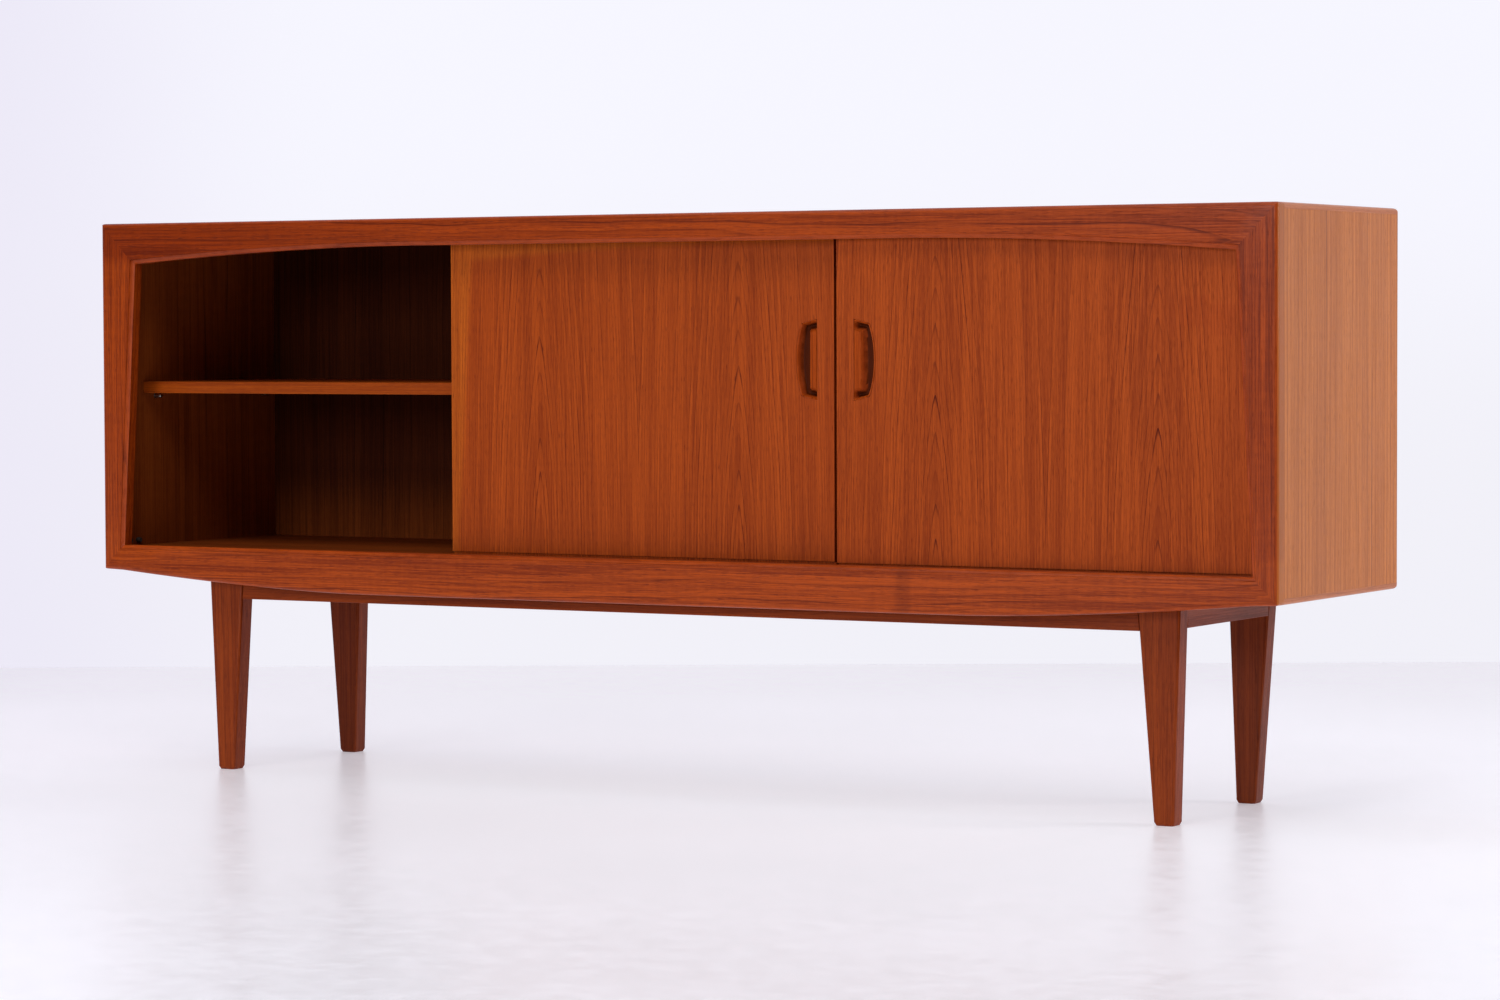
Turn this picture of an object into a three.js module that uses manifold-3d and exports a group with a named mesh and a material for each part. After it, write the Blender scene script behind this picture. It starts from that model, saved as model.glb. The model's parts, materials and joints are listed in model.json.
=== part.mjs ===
// A long, low television cabinet in teak, with two sliding doors on a tapered leg frame.
// Units are millimetres. X runs along the length, -Y is the front, +Z is up, and the floor is Z = 0.
import * as THREE from 'three';
import { mergeVertices } from 'three/addons/utils/BufferGeometryUtils.js';
import Module from 'manifold-3d';

const wasm = await Module();
wasm.setup();

// ---- overall sizes ----
const WIDTH = 1850;
const DEPTH = 401;
const BODY_UNDERSIDE = 290;
const BODY_HEIGHT = 503;

// ---- boards ----
const SIDE_T = 20;
const TOP_T = 20;
const BOTTOM_T = 20;
const BOTTOM_RAISE = 13;
const BACK_T = 6;
const BACK_RECESS = 2;
const DIVIDER_T = 18;
const LIPPING_H = 8;

// ---- front frame: four mitred members ----
const FRAME_T = 20;
const TOP_MITRE = 59;
const BOTTOM_MITRE = 35.5;
const TOP_RAIL_MIDDLE = 38;
const TOP_FLAT_HALF = 400;
const TOP_ARCH_POWER = 1.8;
const BOW_DROP = 25.5;
const BOW_FLAT_HALF = 470;
const BOW_END_GAP = 20;
const BOW_POWER = 1.6;
const FRAME_ARRIS = 6;
const QUIRK = 0.8;
const COVE_WIDTH = 6;
const COVE_DEPTH = 4.5;
const COVE_SAG = 0.5;

// ---- door tracks and doors ----
const TRACK_T = 12;
const GROOVE_D = 8;
const FRONT_DOOR_BACKSET = 4;
const DOOR_T = 18;
const DOOR_GAP = 3;
const BEHIND_DOOR_GAP = 5;
const DOOR_COVER = 20.47;
const TONGUE_W = 8;
const TONGUE_SIDE_GAP = 0.5;
const DOOR_FLOOR_GAP = 4.5;
const DOOR_TRACK_GAP = 1.5;
const TONGUE_END_GAP = 2.5;
const DOOR_JOINT_GAP = 15.5;
const DOOR_STOP_GAP = 1;
const STOP_LENGTH = 6;
const STOP_R = 4;
const STOP_LIFT = 7.5;
const GLIDE_LENGTH = 40;
const GLIDE_W = 7;
const GLIDE_INSET = 60;
const RUNNING_GAP = 0.3;

// ---- finger pulls: D-shaped inlays with a cupped groove ----
const PULL_LENGTH = 108;
const PULL_W = 32;
const PULL_END_W = 23.5;
const PULL_END_SLOPE = 6;
const PULL_T = 14;
const PULL_EDGE_INSET = 26;
const PULL_HEIGHT_SHARE = 0.6215;
const PULL_RIM_W = 2.2;
const PULL_RIM_RISE = 0.8;
const PULL_CUP_DEPTH = 11;
const PULL_CUP_WALL = 3;
const PULL_LEDGE_W = 10;
const PULL_LEDGE_SLOPE = 5;
const PULL_LEDGE_END = 15;
const FIT = 0.3;

// ---- shelves and their pins ----
const SHELF_T = 17;
const SHELF_HEIGHT_SHARE = 0.533;
const SHELF_SETBACK = 1;
const SHELF_END_GAP = 1;
const SHELF_BACK_GAP = 2;
const PIN_R = 4;
const PIN_SUNK = 7;
const PIN_OUT = 12;
const PIN_INSET = 30;

// ---- leg frame ----
const LEG_INSET = 154.6;
const LEG_W = 61;
const LEG_T = 28.4;
const FRONT_LEG_BACKSET = 48.8;
const REAR_LEG_INSET = 34.5;
const FRONT_LEG_TAPER = { outer: 0.036, inner: 0.077 };
const REAR_LEG_TAPER = { outer: 0.075, inner: 0.039 };
const FRONT_LEG_LEAN = 0.012;
const REAR_LEG_LEAN = 0.004;
const LEG_ARRIS = 4;
const FOOT_CHAMFER = 4.5;
const FOOT_INSET = 2;
const APRON_T = 18;
const APRON_SETBACK = 2;
const LONG_APRON_DROP = 41;
const SIDE_APRON_DROP = 37;
const BLOCK_SIZE = 42;
const BLOCK_H = 34;
const BLOCK_LEG_GAP = 1;
const SCREW_R = 2;
const SCREW_HEAD_R = 4.5;
const SCREW_HEAD_T = 2.5;
const SCREW_BITE = 12;
const SCREW_PLACE_SHARE = 1 / 3;

// ---- positions that follow from the sizes ----
const HALF = WIDTH / 2;
const FRONT = -DEPTH / 2;
const REAR = DEPTH / 2;
const TOP = BODY_UNDERSIDE + BODY_HEIGHT;
const CARCASS_FRONT = FRONT + FRAME_T;
const INNER_HALF = HALF - SIDE_T;
const CEILING = TOP - TOP_T;
const FLOOR_UNDER = BODY_UNDERSIDE + BOTTOM_RAISE;
const FLOOR = FLOOR_UNDER + BOTTOM_T;
const TRACK_DEPTH = FRONT_DOOR_BACKSET + 2 * DOOR_T + DOOR_GAP + BEHIND_DOOR_GAP;
const TRACK_BACK = CARCASS_FRONT + TRACK_DEPTH;
const GROOVE_W = TONGUE_W + 2 * TONGUE_SIDE_GAP;
const BACK_OUT = REAR - BACK_RECESS;
const BACK_IN = BACK_OUT - BACK_T;
const DOOR_END = INNER_HALF - STOP_LENGTH - DOOR_STOP_GAP;
const DOOR_BOTTOM = FLOOR + DOOR_FLOOR_GAP;
const DOOR_TOP = CEILING - TRACK_T - DOOR_TRACK_GAP;
const TONGUE_BOTTOM = FLOOR - GROOVE_D + TONGUE_END_GAP;
const TONGUE_TOP = CEILING - TRACK_T + GROOVE_D - TONGUE_END_GAP;
const FRONT_DOOR_Y = CARCASS_FRONT + FRONT_DOOR_BACKSET;
const REAR_DOOR_Y = FRONT_DOOR_Y + DOOR_T + DOOR_GAP;
const BAY_W = (2 * INNER_HALF - 2 * DIVIDER_T) / 3;
const DOOR_W = BAY_W + DOOR_COVER;
const PULL_HEIGHT = DOOR_BOTTOM + PULL_HEIGHT_SHARE * (DOOR_TOP - DOOR_BOTTOM);
const SHELF_TOP = FLOOR + SHELF_HEIGHT_SHARE * (CEILING - FLOOR);

// ---- fineness of the curves, and how far a cutting tool reaches past the face it cuts ----
const ARC_STEPS = 5;
const ROUND_SEGMENTS = 16;
const RAIL_STEPS = 60;
const PULL_STEPS = { across: 20, along: 44 };
const POCKET_STEPS = 24;
const CUT_OVER = 1;
const MERGE_DISTANCE = 1e-4;

const group = new THREE.Group();

// ---- helpers ----
function material(color, roughness = 0.5, metalness = 0) {
  return new THREE.MeshStandardMaterial({ color, roughness, metalness });
}

const TEAK_FRAME = 0xa85427;
const TEAK_DOOR = 0xb0602f;
const TEAK_PANEL = 0xc08055;
const TEAK_INSIDE = 0x7a4526;
const TEAK_LEG = 0x7c4020;
const STEEL = 0x8f8f8a;
const RUBBER = 0x2a201c;
const NYLON = 0xe6e0d2;

function add(name, geometry, mat, x = 0, y = 0, z = 0) {
  const mesh = new THREE.Mesh(geometry, mat);
  mesh.name = name;
  mesh.position.set(x, y, z);
  group.add(mesh);
  return mesh;
}

function addBox(name, x, y, z, mat) {
  const geometry = new THREE.BoxGeometry(x[1] - x[0], y[1] - y[0], z[1] - z[0]);
  return add(name, geometry, mat, (x[0] + x[1]) / 2, (y[0] + y[1]) / 2, (z[0] + z[1]) / 2);
}

function geometryFrom(points, triangles) {
  const geometry = new THREE.BufferGeometry();
  geometry.setAttribute('position', new THREE.Float32BufferAttribute(points.flat(), 3));
  geometry.setIndex(triangles.flat());
  geometry.computeVertexNormals();
  return geometry;
}

// Joins a row of equal rings into one closed skin. Each ring is a list of [x, y, z] points.
function loft(rings, capOutline, flip = false) {
  const n = rings[0].length;
  const points = rings.flat();
  const triangles = [];
  const push = (a, b, c) => triangles.push(flip ? [a, c, b] : [a, b, c]);
  for (let r = 0; r < rings.length - 1; r += 1) {
    for (let i = 0; i < n; i += 1) {
      const a = r * n + i;
      const b = r * n + (i + 1) % n;
      push(a, b, b + n);
      push(a, b + n, a + n);
    }
  }
  const outline = capOutline.map(([u, v]) => new THREE.Vector2(u, v));
  const cap = THREE.ShapeUtils.triangulateShape(outline, []);
  const last = (rings.length - 1) * n;
  for (const [a, b, c] of cap) {
    push(c, b, a);
    push(last + a, last + b, last + c);
  }
  return geometryFrom(points, triangles);
}

// Extrudes an outline of [y, z] points along X.
function prismAlongX(outline, x0, x1) {
  const shape = new THREE.Shape(outline.map(([y, z]) => new THREE.Vector2(y, z)));
  const geometry = new THREE.ExtrudeGeometry(shape, { depth: x1 - x0, bevelEnabled: false });
  const turn = new THREE.Matrix4().makeBasis(
    new THREE.Vector3(0, 1, 0),
    new THREE.Vector3(0, 0, 1),
    new THREE.Vector3(1, 0, 0),
  );
  geometry.applyMatrix4(turn);
  geometry.translate(x0, 0, 0);
  return geometry;
}

// Extrudes an outline of [x, z] points along Y, from y0 to y1.
function prismAlongY(outline, y0, y1) {
  const shape = new THREE.Shape(outline.map(([x, z]) => new THREE.Vector2(x, z)));
  const geometry = new THREE.ExtrudeGeometry(shape, { depth: y1 - y0, bevelEnabled: false });
  geometry.rotateX(Math.PI / 2);
  geometry.translate(0, y1, 0);
  return geometry;
}

// Extrudes an outline of [x, y] points along Z.
function prismAlongZ(outline, z0, z1) {
  const shape = new THREE.Shape(outline.map(([x, y]) => new THREE.Vector2(x, y)));
  const geometry = new THREE.ExtrudeGeometry(shape, { depth: z1 - z0, bevelEnabled: false });
  geometry.translate(0, 0, z0);
  return geometry;
}

function cylinderAlongX(radius, x0, x1, y, z) {
  const geometry = new THREE.CylinderGeometry(radius, radius, x1 - x0, ROUND_SEGMENTS);
  geometry.rotateZ(Math.PI / 2);
  geometry.translate((x0 + x1) / 2, y, z);
  return geometry;
}

function cylinderAlongZ(radius, z0, z1, x, y) {
  const geometry = new THREE.CylinderGeometry(radius, radius, z1 - z0, ROUND_SEGMENTS);
  geometry.rotateX(Math.PI / 2);
  geometry.translate(x, y, (z0 + z1) / 2);
  return geometry;
}

function toManifold(geometry) {
  const bare = geometry.clone();
  bare.deleteAttribute('normal');
  if (bare.getAttribute('uv')) bare.deleteAttribute('uv');
  const merged = mergeVertices(bare, MERGE_DISTANCE);
  const mesh = new wasm.Mesh({
    numProp: 3,
    vertProperties: new Float32Array(merged.getAttribute('position').array),
    triVerts: new Uint32Array(merged.getIndex().array),
  });
  return new wasm.Manifold(mesh);
}

function fromManifold(solid) {
  const mesh = solid.getMesh();
  const geometry = new THREE.BufferGeometry();
  geometry.setAttribute('position', new THREE.BufferAttribute(new Float32Array(mesh.vertProperties), 3));
  geometry.setIndex(new THREE.BufferAttribute(new Uint32Array(mesh.triVerts), 1));
  geometry.computeVertexNormals();
  return geometry;
}

function cut(geometry, tools) {
  let solid = toManifold(geometry);
  for (const tool of tools) solid = solid.subtract(toManifold(tool));
  return fromManifold(solid);
}

function boxGeometry(x, y, z) {
  const geometry = new THREE.BoxGeometry(x[1] - x[0], y[1] - y[0], z[1] - z[0]);
  geometry.translate((x[0] + x[1]) / 2, (y[0] + y[1]) / 2, (z[0] + z[1]) / 2);
  return geometry;
}

const clamp01 = (v) => Math.min(1, Math.max(0, v));
const lerp = (a, b, t) => a + (b - a) * t;

// ---- front frame ----
// Height of the top rail at x: straight in the middle, sweeping down to the mitres.
function topRailHeight(x) {
  const reach = clamp01((Math.abs(x) - TOP_FLAT_HALF) / (HALF - TOP_MITRE - TOP_FLAT_HALF));
  return TOP_RAIL_MIDDLE + (TOP_MITRE - TOP_RAIL_MIDDLE) * reach ** TOP_ARCH_POWER;
}

// How far the bottom rail hangs below the body at x.
function bowDrop(x) {
  const reach = clamp01((HALF - BOW_END_GAP - Math.abs(x)) / (HALF - BOW_END_GAP - BOW_FLAT_HALF));
  return BOW_DROP * (1 - (1 - reach) ** BOW_POWER);
}

// The moulded section, walked round from the outer arris to the back. Each point is
// measured from the outer edge or the inner edge, and by its depth behind the front face.
function frameSection() {
  const section = [];
  for (let i = 0; i <= ARC_STEPS; i += 1) {
    const a = (i / ARC_STEPS) * (Math.PI / 2);
    section.push({
      edge: 'outer',
      from: FRAME_ARRIS * (1 - Math.cos(a)),
      depth: FRAME_ARRIS * (1 - Math.sin(a)),
    });
  }
  section.push({ edge: 'inner', from: COVE_WIDTH, depth: 0 });
  for (let i = 0; i <= ARC_STEPS; i += 1) {
    const t = i / ARC_STEPS;
    const sag = COVE_SAG * Math.sin(Math.PI * t);
    section.push({
      edge: 'inner',
      from: COVE_WIDTH * (1 - t) + sag * (COVE_DEPTH / COVE_WIDTH),
      depth: lerp(QUIRK, COVE_DEPTH, t) + sag,
    });
  }
  section.push({ edge: 'inner', from: 0, depth: FRAME_T });
  section.push({ edge: 'outer', from: 0, depth: FRAME_T });
  return section;
}

// One member: outer(s) and inner(s) are its two edges in the front plane, width(s) its width.
function frameMember(name, stations, outer, inner, width, flip) {
  const section = frameSection();
  const rings = stations.map((s) => {
    const [ox, oz] = outer(s);
    const [ix, iz] = inner(s);
    return section.map(({ edge, from, depth }) => {
      const share = edge === 'outer' ? from / width(s) : 1 - from / width(s);
      return [lerp(ox, ix, share), FRONT + depth, lerp(oz, iz, share)];
    });
  });
  const first = width(stations[0]);
  const cap = section.map(({ edge, from, depth }) => [edge === 'outer' ? from : first - from, depth]);
  add(name, loft(rings, cap, flip), material(TEAK_FRAME, 0.42));
}

const railStations = Array.from({ length: RAIL_STEPS + 1 }, (_, i) => i / RAIL_STEPS);
const stileStations = [0, 1];

frameMember(
  'frame_top_rail',
  railStations,
  (s) => [lerp(-HALF, HALF, s), TOP],
  (s) => {
    const x = lerp(-HALF + TOP_MITRE, HALF - TOP_MITRE, s);
    return [x, TOP - topRailHeight(x)];
  },
  (s) => topRailHeight(lerp(-HALF + TOP_MITRE, HALF - TOP_MITRE, s)),
  false,
);
frameMember(
  'frame_bottom_rail',
  railStations,
  (s) => {
    const x = lerp(-HALF, HALF, s);
    return [x, BODY_UNDERSIDE - bowDrop(x)];
  },
  (s) => [lerp(-HALF + BOTTOM_MITRE, HALF - BOTTOM_MITRE, s), BODY_UNDERSIDE + BOTTOM_MITRE],
  (s) => BOTTOM_MITRE + bowDrop(lerp(-HALF, HALF, s)),
  true,
);
for (const [side, sign] of [['left', -1], ['right', 1]]) {
  frameMember(
    `frame_${side}_stile`,
    stileStations,
    (s) => [sign * HALF, lerp(BODY_UNDERSIDE, TOP, s)],
    (s) => [
      sign * (HALF - lerp(BOTTOM_MITRE, TOP_MITRE, s)),
      lerp(BODY_UNDERSIDE + BOTTOM_MITRE, TOP - TOP_MITRE, s),
    ],
    (s) => lerp(BOTTOM_MITRE, TOP_MITRE, s),
    sign > 0,
  );
}

// ---- carcass ----
const shelfUnder = SHELF_TOP - SHELF_T;
const shelfFront = TRACK_BACK + SHELF_SETBACK;
const shelfBack = BACK_IN - SHELF_BACK_GAP;
const pinZ = shelfUnder - PIN_R;
const pinYs = [shelfFront + PIN_INSET, shelfBack - PIN_INSET];

// Blind holes for the pins of one bay wall. The wall's face is at faceX and dir points into the bay.
function pinHoles(faceX, dir) {
  return pinYs.map((y) => {
    const ends = [faceX - dir * (PIN_SUNK + FIT), faceX + dir * CUT_OVER];
    return cylinderAlongX(PIN_R + FIT, Math.min(...ends), Math.max(...ends), y, pinZ);
  });
}

for (const [side, sign] of [['left', -1], ['right', 1]]) {
  const xs = [sign * INNER_HALF, sign * HALF].sort((a, b) => a - b);
  const zs = [BODY_UNDERSIDE + LIPPING_H, TOP - LIPPING_H];
  const board = boxGeometry(xs, [CARCASS_FRONT, REAR], zs);
  add(`${side}_side_panel`, cut(board, pinHoles(sign * INNER_HALF, -sign)), material(TEAK_PANEL, 0.5));
  addBox(`${side}_upper_lipping`, xs, [CARCASS_FRONT, REAR], [TOP - LIPPING_H, TOP], material(TEAK_FRAME));
  addBox(
    `${side}_lower_lipping`,
    xs,
    [CARCASS_FRONT, REAR],
    [BODY_UNDERSIDE, BODY_UNDERSIDE + LIPPING_H],
    material(TEAK_FRAME),
  );
}

const innerX = [-INNER_HALF, INNER_HALF];
addBox('top_panel', innerX, [CARCASS_FRONT, REAR], [CEILING, TOP], material(TEAK_PANEL, 0.45));
addBox('back_panel', innerX, [BACK_IN, BACK_OUT], [FLOOR_UNDER, CEILING], material(TEAK_INSIDE, 0.6));

// ---- leg frame positions, needed by the screws that run up into the bottom panel ----
const frontLegY = FRONT + FRONT_LEG_BACKSET;
const rearLegY = REAR - REAR_LEG_INSET - LEG_T;
const legOuterX = HALF - LEG_INSET;
const sideApronX = [legOuterX - APRON_SETBACK - APRON_T, legOuterX - APRON_SETBACK];

// Faces of a leg at height z, for the right-hand side. The taper starts at the body's underside.
function legFaces(end, z) {
  const taper = end === 'front' ? FRONT_LEG_TAPER : REAR_LEG_TAPER;
  const lean = end === 'front' ? FRONT_LEG_LEAN : REAR_LEG_LEAN;
  const y = end === 'front' ? frontLegY : rearLegY;
  const down = BODY_UNDERSIDE - z;
  return {
    outer: legOuterX - taper.outer * down,
    inner: legOuterX - LEG_W + taper.inner * down,
    front: y + lean * down,
    back: y + LEG_T + lean * down,
  };
}

const blockBottom = FLOOR_UNDER - BLOCK_H;
const blocks = [];
for (const [side, sign] of [['left', -1], ['right', 1]]) {
  for (const end of ['front', 'rear']) {
    const into = end === 'front' ? 1 : -1;
    const faces = legFaces(end, blockBottom);
    const against = end === 'front' ? faces.back : legFaces(end, FLOOR_UNDER).front;
    const y0 = against + into * BLOCK_LEG_GAP;
    const x0 = sideApronX[0];
    const fromCorner = BLOCK_SIZE * SCREW_PLACE_SHARE;
    const screw = { x: sign * (x0 - fromCorner), y: y0 + into * fromCorner };
    const outline = [
      [sign * x0, y0],
      [sign * x0, y0 + into * BLOCK_SIZE],
      [sign * (x0 - BLOCK_SIZE), y0],
    ];
    blocks.push({ name: `${side}_${end}`, outline, screw });
  }
}

const screwHoles = blocks.map(({ screw }) => cylinderAlongZ(
  SCREW_R + FIT,
  FLOOR_UNDER - CUT_OVER,
  FLOOR_UNDER + SCREW_BITE + FIT,
  screw.x,
  screw.y,
));
const bottomBoard = boxGeometry(innerX, [TRACK_BACK, BACK_IN], [FLOOR_UNDER, FLOOR]);
add('bottom_panel', cut(bottomBoard, screwHoles), material(TEAK_INSIDE, 0.55));

const dividerXs = [-BAY_W / 2 - DIVIDER_T, BAY_W / 2];
['left_divider', 'right_divider'].forEach((name, i) => {
  const xs = [dividerXs[i], dividerXs[i] + DIVIDER_T];
  const board = boxGeometry(xs, [TRACK_BACK, BACK_IN], [FLOOR, CEILING]);
  const holes = [...pinHoles(xs[0], -1), ...pinHoles(xs[1], 1)];
  add(name, cut(board, holes), material(TEAK_INSIDE, 0.55));
});

// ---- shelves ----
const bays = [
  ['left', -INNER_HALF],
  ['centre', -BAY_W / 2],
  ['right', INNER_HALF - BAY_W],
];
for (const [bay, x0] of bays) {
  const x1 = x0 + BAY_W;
  const xs = [x0 + SHELF_END_GAP, x1 - SHELF_END_GAP];
  addBox(`${bay}_shelf`, xs, [shelfFront, shelfBack], [shelfUnder, SHELF_TOP], material(TEAK_FRAME, 0.5));
  pinYs.forEach((y, i) => {
    const place = i === 0 ? 'front' : 'rear';
    const left = cylinderAlongX(PIN_R, x0 - PIN_SUNK, x0 + PIN_OUT, y, pinZ);
    const right = cylinderAlongX(PIN_R, x1 - PIN_OUT, x1 + PIN_SUNK, y, pinZ);
    add(`${bay}_shelf_pin_left_${place}`, left, material(STEEL, 0.35, 0.9));
    add(`${bay}_shelf_pin_right_${place}`, right, material(STEEL, 0.35, 0.9));
  });
}

// ---- door tracks ----
const tongueInset = (DOOR_T - TONGUE_W) / 2;
const grooveInset = (DOOR_T - GROOVE_W) / 2;
const grooves = [FRONT_DOOR_Y + grooveInset, REAR_DOOR_Y + grooveInset];

// Outline of a grooved strip: flatZ is its plain face and faceZ the face with the grooves.
function trackOutline(flatZ, faceZ) {
  const deepZ = faceZ + Math.sign(flatZ - faceZ) * GROOVE_D;
  const outline = [[CARCASS_FRONT, flatZ], [CARCASS_FRONT, faceZ]];
  for (const y of grooves) {
    outline.push([y, faceZ], [y, deepZ], [y + GROOVE_W, deepZ], [y + GROOVE_W, faceZ]);
  }
  outline.push([TRACK_BACK, faceZ], [TRACK_BACK, flatZ]);
  return outline;
}
add('upper_track', prismAlongX(trackOutline(CEILING, CEILING - TRACK_T), ...innerX), material(TEAK_INSIDE));
add('lower_track', prismAlongX(trackOutline(FLOOR_UNDER, FLOOR), ...innerX), material(TEAK_INSIDE));

// ---- doors ----
function doorOutline(y) {
  const t0 = y + tongueInset;
  const t1 = t0 + TONGUE_W;
  return [
    [y, DOOR_BOTTOM], [t0, DOOR_BOTTOM], [t0, TONGUE_BOTTOM], [t1, TONGUE_BOTTOM],
    [t1, DOOR_BOTTOM], [y + DOOR_T, DOOR_BOTTOM], [y + DOOR_T, DOOR_TOP], [t1, DOOR_TOP],
    [t1, TONGUE_TOP], [t0, TONGUE_TOP], [t0, DOOR_TOP], [y, DOOR_TOP],
  ];
}

// Width of the D-shaped pull at height v, which runs from -1 at its foot to 1 at its head.
function pullWidth(v) {
  return PULL_END_W + (PULL_W - PULL_END_W) * (1 - v * v);
}

// Height of the pull's outline at share u of its width: both ends slope toward the straight side.
function pullHeightAt(u, v) {
  return v * (PULL_LENGTH / 2 - PULL_END_SLOPE * u * Math.abs(v));
}

// How far the pull's surface lies behind the door's face.
function pullDepth(u, v) {
  const width = pullWidth(v);
  const fromStraight = u * width;
  const fromArc = width - fromStraight;
  const fromEnd = (1 - Math.abs(v)) * (PULL_LENGTH / 2);
  const fromEdge = Math.min(fromArc, fromEnd);
  if (fromEdge < PULL_RIM_W) return -PULL_RIM_RISE * Math.sin((Math.PI * fromEdge) / PULL_RIM_W);
  const wall = clamp01((fromEdge - PULL_RIM_W) / PULL_CUP_WALL);
  const pastLedge = clamp01((fromStraight - PULL_LEDGE_W) / PULL_LEDGE_SLOPE);
  const pastLedgeEnd = clamp01((PULL_LEDGE_END - fromEnd) / PULL_LEDGE_SLOPE);
  const fromSide = clamp01(fromStraight / PULL_CUP_WALL);
  const ledge = Math.max(pastLedge, pastLedgeEnd * fromSide);
  const ease = (t) => t * t * (3 - 2 * t);
  return PULL_CUP_DEPTH * ease(wall) * ease(ledge);
}

// The pull as a closed skin. dir is the way from its straight side to its arc, along X.
function pullGeometry(straightX, dir, faceY) {
  const { across, along } = PULL_STEPS;
  const points = [];
  for (const back of [false, true]) {
    for (let j = 0; j <= along; j += 1) {
      const v = (2 * j) / along - 1;
      for (let i = 0; i <= across; i += 1) {
        const u = i / across;
        const x = straightX + dir * u * pullWidth(v);
        const y = back ? faceY + PULL_T : faceY + pullDepth(u, v);
        points.push([x, y, PULL_HEIGHT + pullHeightAt(u, v)]);
      }
    }
  }
  const row = across + 1;
  const sheet = row * (along + 1);
  const triangles = [];
  const push = (a, b, c) => triangles.push(dir > 0 ? [a, b, c] : [a, c, b]);
  for (let j = 0; j < along; j += 1) {
    for (let i = 0; i < across; i += 1) {
      const a = j * row + i;
      push(a, a + 1, a + row + 1);
      push(a, a + row + 1, a + row);
      push(sheet + a, sheet + a + row + 1, sheet + a + 1);
      push(sheet + a, sheet + a + row, sheet + a + row + 1);
    }
  }
  const rim = [];
  for (let i = 0; i < across; i += 1) rim.push(i);
  for (let j = 0; j < along; j += 1) rim.push(j * row + across);
  for (let i = across; i > 0; i -= 1) rim.push(along * row + i);
  for (let j = along; j > 0; j -= 1) rim.push(j * row);
  rim.forEach((a, k) => {
    const b = rim[(k + 1) % rim.length];
    push(a, a + sheet, b + sheet);
    push(a, b + sheet, b);
  });
  return geometryFrom(points, triangles);
}

// The pocket that takes the pull, a named clearance larger all round.
function pullPocket(straightX, dir, faceY) {
  const outline = [];
  outline.push([straightX - dir * FIT, PULL_HEIGHT - PULL_LENGTH / 2 - FIT]);
  for (let j = 0; j <= POCKET_STEPS; j += 1) {
    const v = (2 * j) / POCKET_STEPS - 1;
    const grow = Math.sign(v) * FIT;
    outline.push([straightX + dir * (pullWidth(v) + FIT), PULL_HEIGHT + pullHeightAt(1, v) + grow]);
  }
  outline.push([straightX - dir * FIT, PULL_HEIGHT + PULL_LENGTH / 2 + FIT]);
  return prismAlongY(outline, faceY - CUT_OVER, faceY + PULL_T + FIT);
}

// side, left edge, front face, and where the pull's straight side is and which way it opens
const rightDoorX = DOOR_END - DOOR_W;
const leftDoorX = rightDoorX - DOOR_JOINT_GAP - DOOR_W;
const doors = [
  ['left', leftDoorX, REAR_DOOR_Y, leftDoorX + DOOR_W - PULL_EDGE_INSET, -1],
  ['right', rightDoorX, FRONT_DOOR_Y, rightDoorX + PULL_EDGE_INSET, 1],
];
for (const [side, x0, y, pullX, dir] of doors) {
  const slab = prismAlongX(doorOutline(y), x0, x0 + DOOR_W);
  add(`${side}_door`, cut(slab, [pullPocket(pullX, dir, y)]), material(TEAK_DOOR, 0.42));
  add(`${side}_door_pull`, pullGeometry(pullX, dir, y), material(TEAK_FRAME, 0.38));
  const glideY = y + (DOOR_T - GLIDE_W) / 2;
  const glideZ = [FLOOR - GROOVE_D + RUNNING_GAP, TONGUE_BOTTOM];
  const starts = { left: x0 + GLIDE_INSET, right: x0 + DOOR_W - GLIDE_INSET - GLIDE_LENGTH };
  for (const [end, start] of Object.entries(starts)) {
    const xs = [start, start + GLIDE_LENGTH];
    addBox(`${side}_door_glide_${end}`, xs, [glideY, glideY + GLIDE_W], glideZ, material(NYLON, 0.6));
  }
}

for (const [track, y] of [['front', FRONT_DOOR_Y], ['rear', REAR_DOOR_Y]]) {
  const centre = y + DOOR_T / 2;
  const z = FLOOR + STOP_LIFT;
  const left = cylinderAlongX(STOP_R, -INNER_HALF, -INNER_HALF + STOP_LENGTH, centre, z);
  const right = cylinderAlongX(STOP_R, INNER_HALF - STOP_LENGTH, INNER_HALF, centre, z);
  add(`${track}_track_stop_left`, left, material(RUBBER, 0.8));
  add(`${track}_track_stop_right`, right, material(RUBBER, 0.8));
}

// ---- leg frame ----
function roundedRing(x0, x1, y0, y1, z, radius) {
  const ring = [];
  const corners = [[x1, y1, 0], [x0, y1, 1], [x0, y0, 2], [x1, y0, 3]];
  for (const [x, y, quarter] of corners) {
    const cx = x + (x === x1 ? -radius : radius);
    const cy = y + (y === y1 ? -radius : radius);
    for (let i = 0; i < ARC_STEPS; i += 1) {
      const a = (quarter + i / (ARC_STEPS - 1)) * (Math.PI / 2);
      ring.push([cx + radius * Math.cos(a), cy + radius * Math.sin(a), z]);
    }
  }
  return ring;
}

function legGeometry(end, sign) {
  const levels = [
    [0, FOOT_INSET],
    [FOOT_CHAMFER, 0],
    [FLOOR_UNDER, 0],
  ];
  const rings = levels.map(([z, inset]) => {
    const faces = legFaces(end, z);
    const xs = [sign * faces.inner, sign * faces.outer].sort((a, b) => a - b);
    return roundedRing(
      xs[0] + inset,
      xs[1] - inset,
      faces.front + inset,
      faces.back - inset,
      z,
      LEG_ARRIS,
    );
  });
  return loft(rings, rings[0].map(([x, y]) => [x, y]));
}

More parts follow.
